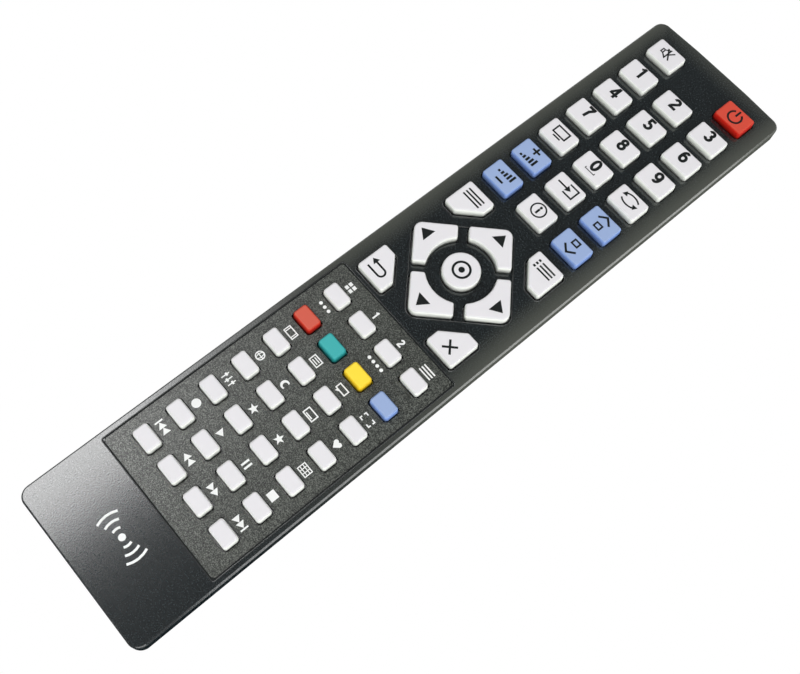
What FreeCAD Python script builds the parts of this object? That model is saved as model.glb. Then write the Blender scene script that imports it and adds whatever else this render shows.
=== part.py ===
import FreeCAD, Part
import math
import os
import re
import Sketcher

# A television remote control, in millimetres. X points to its right, Y towards its infrared end and
# Z up from the surface that it lies on. The origin is in the middle of its underside.

# Driving dimensions: the word that names each one, its value, and what it is
SIZES = [
    ("head_margin", 10.35, "top row of keys to the infrared end"),
    ("function_pitch", 11.25, "top row of keys to the first row of numbers"),
    ("number_pitch_y", 10.6, "row to row among the number keys"),
    ("number_pitch_x", 13.37, "column to column among the number keys"),
    ("number_to_pad", 27.25, "last row under the numbers to the centre of the arrow pad"),
    ("pad_to_menu", 29.15, "centre of the arrow pad to the first row of small keys"),
    ("menu_pitch_y", 9.71, "row to row among the small keys"),
    ("menu_pitch_x", 9.89, "column to column among the small keys"),
    ("tail_margin", 30.74, "last row of small keys to the plain end"),
    ("side_margin", 5.23, "outermost key to the side of the case"),
    ("number_key_width", 9.8, "number key across"),
    ("number_key_length", 7.0, "number key along"),
    ("number_key_cut", 0.6, "what is cut off the corner of a large key"),
    ("menu_key_width", 6.8, "small key across"),
    ("menu_key_length", 4.6, "small key along"),
    ("menu_key_cut", 0.5, "what is cut off the corner of a small key"),
    ("corner_key_width", 9.7, "key beside the arrow pad, across"),
    ("corner_key_length", 9.7, "key beside the arrow pad, along"),
    ("corner_key_cut", 5.6, "how much its slanted corner takes off each side"),
    ("corner_key_pitch", 30.1, "upper pair of those keys to the lower pair"),
    ("ok_radius", 5.25, "round key in the middle of the pad"),
    ("arrow_reach", 13.1, "centre of the pad to the straight outer edge of an arrow key"),
    ("arrow_inner_radius", 9.3, "hollow side of an arrow key"),
    ("arrow_half_gap", 1.35, "half of the gap between two arrow keys"),
    ("arrow_tip_radius", 2.3, "rounded tip of an arrow key"),
    ("number_key_rise", 2.2, "top of a large key above the case"),
    ("menu_key_rise", 1.9, "top of a small key above the case"),
    ("key_edge", 0.45, "bevel round the top of a large key"),
    ("small_key_edge", 0.35, "bevel round the top of a small key"),
    ("key_clearance", 0.25, "gap between a key and its hole"),
    ("flange_margin", 0.9, "how far a key's flange reaches past the key"),
    ("flange_thickness", 0.8, "flange that keeps a key in the case"),
    ("flange_gap", 0.1, "flange below the roof of the case"),
    ("key_travel", 0.8, "how far a key goes down"),
    ("travel_gap", 0.1, "what is left under a key that is pressed"),
    ("plunger_width", 3.2, "foot of a large key across"),
    ("plunger_length", 2.6, "foot of a large key along"),
    ("small_plunger_width", 2.6, "foot of a small key across"),
    ("small_plunger_length", 2.0, "foot of a small key along"),
    ("plunger_clearance", 0.2, "gap between a foot and its hole in the mat"),
    ("mat_thickness", 1.0, "sheet of the rubber mat"),
    ("mat_margin", 2.6, "mat past the centres of the outermost rows"),
    ("board_thickness", 1.2, "circuit board"),
    ("board_gap", 0.3, "circuit board above what carries it"),
    ("board_side_gap", 1.3, "circuit board to the wall of the case"),
    ("top_thickness", 1.8, "roof of the upper shell"),
    ("wall_thickness", 1.8, "side walls"),
    ("front_depth", 4.0, "outer height of the upper shell"),
    ("case_radius", 3.0, "corners of the case seen from above"),
    ("end_bow", 0.5, "how far the infrared end bows out"),
    ("rim_bevel", 0.45, "bevel of the upper rim"),
    ("rear_inset", 3.5, "how far the lower shell draws in"),
    ("foot_bevel", 1.4, "bevel of the lower rim"),
    ("tongue_height", 1.2, "lip of the lower shell inside the upper one"),
    ("tongue_root", 0.8, "ledge behind that lip, below the seam"),
    ("tongue_thickness", 0.8, "that lip's wall"),
    ("shell_fit", 0.15, "clearance of that lip, of the window and of the overlay"),
    ("overlay_thickness", 0.4, "printed plate over the small keys"),
    ("overlay_depth", 0.1, "that plate below the top of the case"),
    ("panel_side_margin", 3.2, "small key to the side of the plate"),
    ("panel_top_margin", 5.1, "small key to the upper end of the plate"),
    ("panel_bottom_margin", 5.75, "small key to the lower end of the plate"),
    ("panel_radius", 1.2, "corner of the plate"),
    ("pad_recess", 0.3, "shallow recess round the arrow pad"),
    ("pad_recess_margin", 0.55, "that recess past the keys"),
    ("post_width", 2.2, "square post that locates the board"),
    ("post_clearance", 0.2, "gap round a post"),
    ("post_x", 15.0, "the pair of posts below the arrow pad"),
    ("post_back", 3.0, "single post behind the top row of keys"),
    ("post_reach", 0.8, "post past the board"),
    ("floor_thickness", 1.8, "floor of the lower shell"),
    ("cell_diameter", 10.5, "battery cell across"),
    ("cell_length", 44.5, "battery cell with its cap"),
    ("cell_cap_radius", 1.9, "positive cap of a cell"),
    ("cell_cap_height", 0.9, "that cap's height"),
    ("cell_gap", 0.3, "room round the cells"),
    ("cell_spacing", 0.6, "gap between the two cells"),
    ("contact_space", 3.0, "room for a contact at each end of the cells"),
    ("contact_metal", 0.4, "sheet of the contacts"),
    ("contact_gap", 0.1, "contact to the wall and to the cell"),
    ("contact_width", 7.0, "plate of a contact"),
    ("leaf_width", 4.6, "spring leaf of a contact"),
    ("tab_width", 2.2, "tab of a contact up to the board"),
    ("leaf_crest", 1.2, "flat crest of a leaf, where it meets the cell"),
    ("bay_wall", 1.2, "wall round the cells"),
    ("bay_roof", 1.2, "roof over the cells"),
    ("bay_margin", 21.7, "cells' bay to the plain end of the case"),
    ("door_thickness", 1.6, "battery door"),
    ("door_gap", 0.1, "clearance round the door"),
    ("door_overlap", 5.8, "door past the cells' bay on each side"),
    ("door_lap", 3.0, "door past the bay's upper wall"),
    ("door_web", 1.2, "floor that the door runs under"),
    ("rail_width", 1.0, "tongue along each side of the door"),
    ("rail_thickness", 0.7, "that tongue's height"),
    ("grip_pitch", 2.4, "groove to groove in the thumb grip"),
    ("grip_depth", 0.5, "grooves of the thumb grip"),
    ("grip_width", 16.0, "length of a groove"),
    ("grip_margin", 8.0, "first groove to the door's end"),
    ("boss_margin", 13.5, "case screw to the plain end"),
    ("boss_width", 5.4, "square boss of the upper shell"),
    ("column_width", 6.6, "square column of the lower shell under that boss"),
    ("column_height", 5.5, "that column above the floor"),
    ("screw_radius", 1.1, "screw's shank"),
    ("screw_head_radius", 2.0, "screw's head"),
    ("screw_head_height", 1.4, "screw's head"),
    ("screw_grip", 6.0, "screw's thread in the upper boss"),
    ("screw_clearance", 0.2, "gap round the screw in the lower column"),
    ("thread_clearance", 0.04, "gap round the screw in the upper boss"),
    ("rib_thickness", 1.2, "ribs under the board"),
    ("rib_pitch", 40.0, "rib to rib"),
    ("rib_margin", 28.0, "first rib to the infrared end"),
    ("window_width", 12.0, "infrared window"),
    ("window_height", 4.6, "infrared window"),
    ("window_below_seam", 2.0, "top of the window below the seam"),
    ("window_lip", 0.8, "lip that holds the window inside"),
    ("window_gap", 0.1, "lip behind the end wall"),
    ("emitter_radius", 1.5, "infrared diode"),
    ("emitter_length", 5.0, "infrared diode"),
    ("emitter_collar", 0.3, "collar round the diode's back"),
    ("emitter_gap", 0.3, "diode to the board and to the window"),
    ("lead_thickness", 0.5, "wire of a component"),
    ("lead_pitch", 1.5, "wire to wire on the diode"),
    ("chip_width", 7.6, "controller chip across"),
    ("chip_length", 13.0, "controller chip along"),
    ("chip_height", 2.2, "controller chip"),
    ("capacitor_radius", 2.5, "reservoir capacitor"),
    ("capacitor_length", 11.0, "reservoir capacitor"),
]

# Places and levels that follow from them
LAYOUT = [
    ("number_rows_length", "5 * number_pitch_y"),
    ("menu_rows_length", "6 * menu_pitch_y"),
    ("menu_columns_width", "3 * menu_pitch_x"),
    ("half_length", "(head_margin + function_pitch + number_rows_length + number_to_pad + pad_to_menu"
                    " + menu_rows_length + tail_margin) / 2"),
    ("half_width", "max(number_pitch_x + max(number_key_width; corner_key_width) / 2;"
                   " (menu_columns_width + menu_key_width) / 2) + side_margin"),
    ("function_row", "half_length - head_margin"),
    ("first_number_row", "function_row - function_pitch"),
    ("last_number_row", "first_number_row - number_rows_length"),
    ("pad_centre", "last_number_row - number_to_pad"),
    ("first_menu_row", "pad_centre - pad_to_menu"),
    ("last_menu_row", "first_menu_row - menu_rows_length"),
    ("post_row", "(pad_centre - (corner_key_pitch + corner_key_length) / 2"
                 " + first_menu_row + menu_key_length / 2) / 2"),
    ("panel_top", "first_menu_row + menu_key_length / 2 + panel_top_margin"),
    ("panel_bottom", "last_menu_row - menu_key_length / 2 - panel_bottom_margin"),
    ("panel_width", "menu_columns_width + menu_key_width + 2 * panel_side_margin"),
    ("panel_length", "panel_top - panel_bottom"),
    ("panel_centre", "(panel_top + panel_bottom) / 2"),
    ("cell_bottom", "door_thickness + cell_gap"),
    ("cell_axis", "cell_bottom + cell_diameter / 2"),
    ("bay_top", "cell_bottom + cell_diameter + cell_gap"),
    ("board_bottom", "bay_top + bay_roof + board_gap"),
    ("board_top", "board_bottom + board_thickness"),
    ("mat_top", "board_top + mat_thickness"),
    ("plunger_bottom", "board_top + key_travel + travel_gap"),
    ("flange_bottom", "mat_top + key_travel + travel_gap"),
    ("flange_top", "flange_bottom + flange_thickness"),
    ("underside", "flange_top + flange_gap"),
    ("case_top", "underside + top_thickness"),
    ("seam", "case_top - front_depth"),
    ("wall_slope", "rear_inset / seam"),
    ("board_half_width", "half_width - wall_thickness - board_side_gap"),
    ("board_low_end", "last_menu_row - mat_margin"),
    ("board_high_end", "function_row + mat_margin"),
    ("door_roof", "door_thickness + door_gap"),
    ("door_floor", "door_roof + door_web"),
    ("bay_width", "2 * cell_diameter + cell_spacing + 2 * cell_gap"),
    ("bay_length", "cell_length + 2 * contact_space"),
    ("bay_low_end", "bay_margin - half_length"),
    ("bay_high_end", "bay_low_end + bay_length"),
    ("bay_centre", "(bay_low_end + bay_high_end) / 2"),
    ("cell_x", "(cell_diameter + cell_spacing) / 2"),
    ("contact_half_height", "cell_diameter * 0.42"),
    ("door_half_width", "bay_width / 2 + door_overlap"),
    ("door_high_end", "bay_high_end + bay_wall + door_lap"),
    ("door_low_end", "rear_inset + foot_bevel - half_length"),
    ("boss_y", "boss_margin - half_length"),
    ("column_top", "door_floor + column_height"),
    ("screw_seat", "door_roof + screw_head_height + 1"),
    ("screw_tip", "column_top + screw_grip"),
    ("window_top", "seam - window_below_seam"),
    ("window_bottom", "window_top - window_height"),
    ("window_outside", "half_length - rear_inset"),
    ("emitter_axis", "board_bottom - emitter_radius - emitter_gap"),
    ("emitter_tip", "window_outside + wall_slope * window_bottom - wall_thickness - window_gap - window_lip"
                    " - emitter_gap"),
    ("emitter_back", "emitter_tip - emitter_length"),
]

NUMBER_ROWS = [
    ("key_1", "key_2", "key_3"),
    ("key_4", "key_5", "key_6"),
    ("key_7", "key_8", "key_9"),
    ("key_tv", "key_0", "key_swap"),
    ("key_volume_up", "key_input", "key_channel_up"),
    ("key_volume_down", "key_info", "key_channel_down"),
]
FUNCTION_KEYS = [("key_mute", -1), ("key_power", 1)]
CORNER_KEYS = [("key_menu", -1, 1), ("key_guide", 1, 1), ("key_back", -1, -1), ("key_exit", 1, -1)]
ARROW_KEYS = [("key_up", 0), ("key_left", 90), ("key_down", 180), ("key_right", 270)]
# Small keys: the four coloured ones by themselves, the others two by two
MENU_ROWS = [
    ("keys_shortcut_left", "keys_shortcut_right"),
    ("key_red", "key_green", "key_yellow", "key_blue"),
    ("keys_media_text", "keys_language_screen"),
    ("keys_web_sleep", "keys_subtitle_favourite"),
    ("keys_preset_star", "keys_star_grid"),
    ("keys_record_play", "keys_pause_stop"),
    ("keys_previous_rewind", "keys_forward_next"),
]
MENU_COLUMNS = 4
POSTS = [
    ("top", "0", "function_row - post_back"),
    ("left", "-post_x", "post_row"),
    ("right", "post_x", "post_row"),
]

# A corner cut at 45 degrees grows by this much for each millimetre that its outline moves out
CUT_GROWTH = 2 - math.sqrt(2)
# An outline that turns by less than this, in radians, stays sharp there
SLIGHT_BEND = 0.2
# Where the bowed end bends, as a share of the half width
BOW_BEND = 0.4
BEYOND = "1"

document = FreeCAD.newDocument("remote_control")
sheet = document.addObject("Spreadsheet::Sheet", "dims")
layout = document.addObject("App::VarSet", "layout")
owners = {word: "dims." for word, number, meaning in SIZES}
owners.update({word: "layout." for word, formula in LAYOUT})


def linked(formula):
    """The formula with each size's word turned into a reference to the object that holds it."""
    return re.sub(r"[a-z_]\w*", lambda word: owners.get(word.group(), "") + word.group(), formula)


def bind(feature, place, formula):
    feature.setExpression(place, linked(formula))


def value(formula):
    return float(sheet.evalExpression(linked(formula)))


def fill_sheet():
    for row, (word, number, meaning) in enumerate(SIZES, start=1):
        sheet.set(f"A{row}", meaning)
        sheet.set(f"B{row}", str(number))
        sheet.setAlias(f"B{row}", word)
    document.recompute()
    for word, formula in LAYOUT:
        layout.addProperty("App::PropertyFloat", word)
        bind(layout, word, formula)
    document.recompute()


# Sketches


def sketch_on(body, name, level="0", x="0", y="0", plane="XY_Plane"):
    """An empty sketch in the body, moved along its plane by x and y and off it by level."""
    sketch = body.newObject("Sketcher::SketchObject", body.Name + "_" + name)
    planes = {feature.Role: feature for feature in body.Origin.OriginFeatures}
    sketch.AttachmentSupport = (planes[plane], [""])
    sketch.MapMode = "FlatFace"
    bind(sketch, "AttachmentOffset.Base.x", x)
    bind(sketch, "AttachmentOffset.Base.y", y)
    bind(sketch, "AttachmentOffset.Base.z", level)
    return sketch


def dimension(sketch, formula, kind, *geometry):
    """A dimension of the sketch that follows the formula."""
    index = sketch.addConstraint(Sketcher.Constraint(kind, *geometry, value(formula)))
    name = f"size_{index}"
    sketch.renameConstraint(index, name)
    bind(sketch, "Constraints." + name, formula)


def place_point(sketch, geometry, position, corner):
    dimension(sketch, corner[0], "DistanceX", -1, 1, geometry, position)
    dimension(sketch, corner[1], "DistanceY", -1, 1, geometry, position)


def anticlockwise(corners):
    """The corners in anticlockwise order, with their points."""
    points = [FreeCAD.Vector(value(x), value(y), 0) for x, y in corners]
    area = sum(a.x * b.y - b.x * a.y for a, b in zip(points, points[1:] + points[:1]))
    if area < 0:
        return corners[::-1], points[::-1]
    return corners, points


def circle(sketch, radius, x="0", y="0"):
    centre = FreeCAD.Vector(value(x), value(y), 0)
    shape = Part.Circle(centre, FreeCAD.Vector(0, 0, 1), value(radius))
    index = sketch.addGeometry(shape, False)
    dimension(sketch, radius, "Radius", index)
    if (x, y) == ("0", "0"):
        sketch.addConstraint(Sketcher.Constraint("Coincident", index, 3, -1, 1))
    else:
        place_point(sketch, index, 3, (x, y))


def straight_outline(sketch, corners):
    """A closed outline of straight lines through the corners."""
    corners, points = anticlockwise(corners)
    first = sketch.GeometryCount
    count = len(corners)
    lines = [Part.LineSegment(points[i], points[(i + 1) % count]) for i in range(count)]
    sketch.addGeometry(lines, False)
    for i in range(count):
        following = first + (i + 1) % count
        sketch.addConstraint(Sketcher.Constraint("Coincident", first + i, 2, following, 1))
        place_point(sketch, first + i, 1, corners[i])


def corner_arc(before, corner, after, radius):
    """The arc that rounds a corner, with its two ends."""
    into = (corner - before).normalize()
    out = (after - corner).normalize()
    setback = radius * math.tan(into.getAngle(out) / 2)
    start = corner - into * setback
    end = corner + out * setback
    centre = start + FreeCAD.Vector(-into.y, into.x, 0) * radius
    angles = [math.atan2(point.y - centre.y, point.x - centre.x) for point in (start, end)]
    return Part.ArcOfCircle(Part.Circle(centre, FreeCAD.Vector(0, 0, 1), radius), *angles), start, end


def rounded_outline(sketch, corners, radius):
    """A closed outline through the corners, rounded with one radius where it turns and sharp where it bends."""
    corners, points = anticlockwise(corners)
    count = len(corners)
    size = value(radius)
    rounds = []
    for i in range(count):
        into = points[i] - points[i - 1]
        out = points[(i + 1) % count] - points[i]
        turns = into.getAngle(out) > SLIGHT_BEND
        rounds.append(corner_arc(points[i - 1], points[i], points[(i + 1) % count], size) if turns else None)
    rounded = [i for i in range(count) if rounds[i]]
    leaves = [rounds[i][2] if rounds[i] else points[i] for i in range(count)]
    arrives = [rounds[i][1] if rounds[i] else points[i] for i in range(count)]
    first_line = sketch.GeometryCount
    arcs = {i: first_line + count + place for place, i in enumerate(rounded)}
    marks = {i: first_line + count + len(rounded) + place for place, i in enumerate(rounded)}
    sketch.addGeometry([Part.LineSegment(leaves[i], arrives[(i + 1) % count]) for i in range(count)], False)
    sketch.addGeometry([rounds[i][0] for i in rounded], False)
    sketch.addGeometry([Part.Point(points[i]) for i in rounded], True)
    rules = []
    for i in range(count):
        line = first_line + i
        previous = first_line + (i - 1) % count
        if i in arcs:
            rules.append(Sketcher.Constraint("Tangent", previous, 2, arcs[i], 1))
            rules.append(Sketcher.Constraint("Tangent", arcs[i], 2, line, 1))
            rules.append(Sketcher.Constraint("PointOnObject", marks[i], 1, line))
            rules.append(Sketcher.Constraint("PointOnObject", marks[i], 1, previous))
        else:
            rules.append(Sketcher.Constraint("Coincident", previous, 2, line, 1))
    first_arc = arcs[rounded[0]]
    rules += [Sketcher.Constraint("Equal", first_arc, arcs[i]) for i in rounded[1:]]
    sketch.addConstraint(rules)
    for i in range(count):
        place_point(sketch, marks.get(i, first_line + i), 1, corners[i])
    dimension(sketch, radius, "Radius", first_arc)


def case_corners(inset="0"):
    """The corners of the case seen from above, moved in by inset: its infrared end is slightly bowed."""
    x = f"(half_width - ({inset}))"
    y = f"(half_length - ({inset}))"
    return [
        (f"-{x}", f"-{y}"),
        (x, f"-{y}"),
        (x, f"{y} - end_bow"),
        (f"{BOW_BEND} * {x}", y),
        (f"-{BOW_BEND} * {x}", y),
        (f"-{x}", f"{y} - end_bow"),
    ]


def box_corners(width, length, grow="0"):
    """The corners of a centred rectangle, each side moved out by grow."""
    x = f"(({width}) / 2 + {grow})"
    y = f"(({length}) / 2 + {grow})"
    return [(f"-{x}", f"-{y}"), (x, f"-{y}"), (x, y), (f"-{x}", y)]


def grown_cut(cut, grow):
    return f"({cut} + {CUT_GROWTH} * {grow})"


def cut_box_corners(width, length, cut, grow="0"):
    """The corners of a centred rectangle with its own corners cut off, each side moved out by grow."""
    x = f"(({width}) / 2 + {grow})"
    y = f"(({length}) / 2 + {grow})"
    near_x = f"({x} - {grown_cut(cut, grow)})"
    near_y = f"({y} - {grown_cut(cut, grow)})"
    return [
        (f"-{near_x}", f"-{y}"),
        (near_x, f"-{y}"),
        (x, f"-{near_y}"),
        (x, near_y),
        (near_x, y),
        (f"-{near_x}", y),
        (f"-{x}", near_y),
        (f"-{x}", f"-{near_y}"),
    ]


def corner_key_corners(side, end, grow="0"):
    """The corners of a key beside the pad: a large cut faces the pad and small ones take the other corners."""
    x = f"(corner_key_width / 2 + {grow})"
    y = f"(corner_key_length / 2 + {grow})"
    large = grown_cut("corner_key_cut", grow)
    small = grown_cut("number_key_cut", grow)
    return [
        (f"{-side} * ({x} - {large})", f"{-end} * {y}"),
        (f"{side} * ({x} - {small})", f"{-end} * {y}"),
        (f"{side} * {x}", f"{-end} * ({y} - {small})"),
        (f"{side} * {x}", f"{end} * ({y} - {small})"),
        (f"{side} * ({x} - {small})", f"{end} * {y}"),
        (f"{-side} * ({x} - {small})", f"{end} * {y}"),
        (f"{-side} * {x}", f"{end} * ({y} - {small})"),
        (f"{-side} * {x}", f"{-end} * ({y} - {large})"),
    ]


def pad_corners(grow):
    """The corners of the square round all four arrow keys, which stands on one corner."""
    reach = f"((arrow_reach + {grow}) * {math.sqrt(2)})"
    return [("0", f"-{reach}"), (reach, "0"), ("0", reach), (f"-{reach}", "0")]


def arrow_outline(sketch, grow="0"):
    """The upper arrow key: a corner of that square, cut off by its neighbours and hollowed by a circle."""
    reach = f"(arrow_reach + {grow})"
    half_gap = f"(arrow_half_gap - {grow})"
    hollow = f"(arrow_inner_radius - {grow})"
    tip_radius = f"(arrow_tip_radius + {grow})"
    cut = grown_cut("number_key_cut", grow)
    across = FreeCAD.Vector(1, -1, 0).normalize()
    outward = FreeCAD.Vector(1, 1, 0).normalize()
    far = outward * value(reach)
    tip = far - across * value(reach)
    shoulder = far - across * value(half_gap)
    depth = math.sqrt(value(hollow) ** 2 - value(half_gap) ** 2)
    inner = outward * depth - across * value(half_gap)
    low_shoulder = shoulder - outward * value(cut)
    high_shoulder = shoulder - across * value(cut)
    mirrored = [FreeCAD.Vector(-point.x, point.y, 0) for point in (shoulder, low_shoulder, high_shoulder, inner)]
    left_shoulder, left_low, left_high, left_inner = mirrored
    tip_arc, tip_start, tip_end = corner_arc(shoulder, tip, left_shoulder, value(tip_radius))
    angle = math.atan2(inner.y, inner.x)
    hollow_circle = Part.Circle(FreeCAD.Vector(), FreeCAD.Vector(0, 0, 1), value(hollow))
    sketch.addGeometry([
        Part.LineSegment(inner, low_shoulder),
        Part.LineSegment(low_shoulder, high_shoulder),
        Part.LineSegment(high_shoulder, tip_start),
        tip_arc,
        Part.LineSegment(tip_end, left_high),
        Part.LineSegment(left_high, left_low),
        Part.LineSegment(left_low, left_inner),
        Part.ArcOfCircle(hollow_circle, angle, math.pi - angle),
    ], False)
    right_side, right_cut, right_edge, tip_round, left_edge, left_cut, left_side, hollow_arc = range(8)
    meets = [(right_side, right_cut), (right_cut, right_edge), (left_edge, left_cut), (left_cut, left_side)]
    rules = [Sketcher.Constraint("Coincident", first, 2, second, 1) for first, second in meets]
    rules += [
        Sketcher.Constraint("Tangent", right_edge, 2, tip_round, 1),
        Sketcher.Constraint("Tangent", tip_round, 2, left_edge, 1),
        Sketcher.Constraint("Coincident", hollow_arc, 1, right_side, 1),
        Sketcher.Constraint("Coincident", hollow_arc, 2, left_side, 2),
        Sketcher.Constraint("Coincident", hollow_arc, 3, -1, 1),
        Sketcher.Constraint("Perpendicular", right_side, right_edge),
        Sketcher.Constraint("Perpendicular", right_edge, left_edge),
        Sketcher.Constraint("Perpendicular", left_edge, left_side),
        Sketcher.Constraint("Vertical", right_cut),
        Sketcher.Constraint("Vertical", left_cut),
        Sketcher.Constraint("Angle", right_side, math.pi / 4),
    ]
    sketch.addConstraint(rules)
    dimension(sketch, hollow, "Radius", hollow_arc)
    dimension(sketch, tip_radius, "Radius", tip_round)
    for line in (right_cut, left_cut):
        dimension(sketch, f"{cut} * {math.sqrt(2)}", "Distance", line)
    for line, distance in ((right_side, half_gap), (right_edge, reach), (left_edge, reach), (left_side, half_gap)):
        dimension(sketch, distance, "Distance", -1, 1, line)


def arrow_flange_corners():
    """A straight-sided outline round the upper arrow key, clear of its neighbours and of the round key."""
    reach = "(arrow_reach + flange_margin)"
    half_gap = "(arrow_half_gap - flange_margin)"
    inner = "(arrow_inner_radius - flange_margin)"
    shoulder_x = f"({reach} - {half_gap}) / {math.sqrt(2)}"
    shoulder_y = f"({reach} + {half_gap}) / {math.sqrt(2)}"
    inner_x = f"({inner} - {half_gap} * {math.sqrt(2)})"
    return [
        (inner_x, inner),
        (shoulder_x, shoulder_y),
        ("0", f"{reach} * {math.sqrt(2)}"),
        (f"-{shoulder_x}", shoulder_y),
        (f"-{inner_x}", inner),
    ]


# Features


def new_body(name):
    body = document.addObject("PartDesign::Body", name)
    body.Label = name
    return body


def extrude(body, sketch, length, downward=False, both_ways=False, cut=False):
    """Adds or cuts the sketch's outline. It goes up from its level, or down where downward is set."""
    kind = "PartDesign::Pocket" if cut else "PartDesign::Pad"
    feature = body.newObject(kind, sketch.Name + ("_cut" if cut else "_pad"))
    feature.Profile = sketch
    bind(feature, "Length", length)
    feature.Midplane = both_ways
    feature.Reversed = downward != cut
    sketch.Visibility = False
    return feature


def plate(body, name, level, length, corners, downward=False, cut=False, x="0", y="0"):
    """A straight-sided block or hollow."""
    sketch = sketch_on(body, name, level, x, y)
    straight_outline(sketch, corners)
    return extrude(body, sketch, length, downward=downward, cut=cut), sketch


def between(x_low, y_low, x_high, y_high):
    return [(x_low, y_low), (x_high, y_low), (x_high, y_high), (x_low, y_high)]


def grid(body, feature, sketch, count, length, second_count=1, second_length="0"):
    """Repeats a feature along its sketch's own axes."""
    pattern = body.newObject("PartDesign::LinearPattern", feature.Name + "_grid")
    pattern.Originals = [feature]
    pattern.Direction = (sketch, ["H_Axis"])
    bind(pattern, "Length", length)
    pattern.Occurrences = count
    if second_count > 1:
        pattern.Direction2 = (sketch, ["V_Axis"])
        bind(pattern, "Length2", second_length)
        pattern.Occurrences2 = second_count
    body.Tip = pattern
    return pattern


def ring(body, feature, sketch, count):
    """Repeats a feature round its sketch's own centre."""
    pattern = body.newObject("PartDesign::PolarPattern", feature.Name + "_ring")
    pattern.Originals = [feature]
    pattern.Axis = (sketch, ["N_Axis"])
    pattern.Angle = 360
    pattern.Occurrences = count
    body.Tip = pattern
    return pattern


def edges_at(feature, level):
    """Names of the feature's edges that lie wholly at one height."""
    height = value(level)
    found = []
    for number, edge in enumerate(feature.Shape.Edges, start=1):
        box = edge.BoundBox
        if abs(box.ZMin - height) < 1e-4 and abs(box.ZMax - height) < 1e-4:
            found.append(f"Edge{number}")
    return found


def bevel(body, edges, size):
    """A bevel on edges of the body's last feature."""
    base = body.Tip
    feature = body.newObject("PartDesign::Chamfer", body.Name + "_bevel")
    feature.Base = (base, edges)
    bind(feature, "Size", size)


# Keys: each has a foot over the board, a flange under the roof and a cap through its hole


def number_outline(sketch, grow="0"):
    straight_outline(sketch, cut_box_corners("number_key_width", "number_key_length", "number_key_cut", grow))


def menu_outline(sketch, grow="0"):
    straight_outline(sketch, cut_box_corners("menu_key_width", "menu_key_length", "menu_key_cut", grow))


def corner_outline(sketch, side, end, grow="0"):
    straight_outline(sketch, corner_key_corners(side, end, grow))


def add_key(name, draw_cap, draw_flange, rise, foot, foot_y="0"):
    """A key round its own centre, in the order in which it would be moulded."""
    body = new_body(name)
    foot_sketch = sketch_on(body, "foot", "plunger_bottom", y=foot_y)
    straight_outline(foot_sketch, box_corners(*foot))
    extrude(body, foot_sketch, "flange_bottom - plunger_bottom")
    flange_sketch = sketch_on(body, "flange", "flange_bottom")
    draw_flange(flange_sketch)
    extrude(body, flange_sketch, "flange_thickness")
    cap_sketch = sketch_on(body, "cap", "flange_top")
    draw_cap(cap_sketch)
    extrude(body, cap_sketch, f"case_top + {rise} - flange_top")
    return body


def stand(body, x, y, angle=0):
    """Places a key on the case."""
    body.Placement = FreeCAD.Placement(FreeCAD.Vector(), FreeCAD.Rotation(FreeCAD.Vector(0, 0, 1), angle))
    bind(body, "Placement.Base.x", x)
    bind(body, "Placement.Base.y", y)


LARGE_FOOT = ("plunger_width", "plunger_length")
SMALL_FOOT = ("small_plunger_width", "small_plunger_length")
ARROW_FOOT_Y = "(arrow_inner_radius + arrow_reach * 1.2) / 2"


def number_key(name, x, y):
    def draw_flange(sketch):
        straight_outline(sketch, box_corners("number_key_width", "number_key_length", "flange_margin"))

    body = add_key(name, number_outline, draw_flange, "number_key_rise", LARGE_FOOT)
    stand(body, x, y)
    return body


def corner_key(name, side, end):
    def draw_cap(sketch):
        corner_outline(sketch, side, end)

    def draw_flange(sketch):
        straight_outline(sketch, corner_key_corners(side, end, "flange_margin"))

    body = add_key(name, draw_cap, draw_flange, "number_key_rise", LARGE_FOOT)
    stand(body, f"{side} * number_pitch_x", f"pad_centre + {end} * corner_key_pitch / 2")
    return body


def arrow_key(name, angle):
    def draw_flange(sketch):
        straight_outline(sketch, arrow_flange_corners())

    body = add_key(name, arrow_outline, draw_flange, "number_key_rise", LARGE_FOOT, ARROW_FOOT_Y)
    stand(body, "0", "pad_centre", angle)
    return body


def ok_key():
    def draw_cap(sketch):
        circle(sketch, "ok_radius")

    def draw_flange(sketch):
        across = "2 * ok_radius"
        straight_outline(sketch, cut_box_corners(across, across, f"{CUT_GROWTH} * ok_radius", "flange_margin"))

    body = add_key("key_ok", draw_cap, draw_flange, "number_key_rise", LARGE_FOOT)
    stand(body, "0", "pad_centre")
    return body


def menu_key(name, column, row):
    def draw_flange(sketch):
        straight_outline(sketch, box_corners("menu_key_width", "menu_key_length", "flange_margin"))

    body = add_key(name, menu_outline, draw_flange, "menu_key_rise", SMALL_FOOT)
    stand(body, f"({column} - 1.5) * menu_pitch_x", f"first_menu_row - {row} * menu_pitch_y")
    return body


def bevel_caps(bodies, rise, edge):
    """Takes the sharp edge off the top of each cap."""
    for body in bodies:
        bevel(body, edges_at(body.Tip, f"case_top + {rise}"), edge)


def group(name, bodies):
    """Alike pieces that share a node."""
    joined = document.addObject("Part::Compound", name)
    joined.Label = name
    joined.Links = bodies
    return joined


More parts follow.
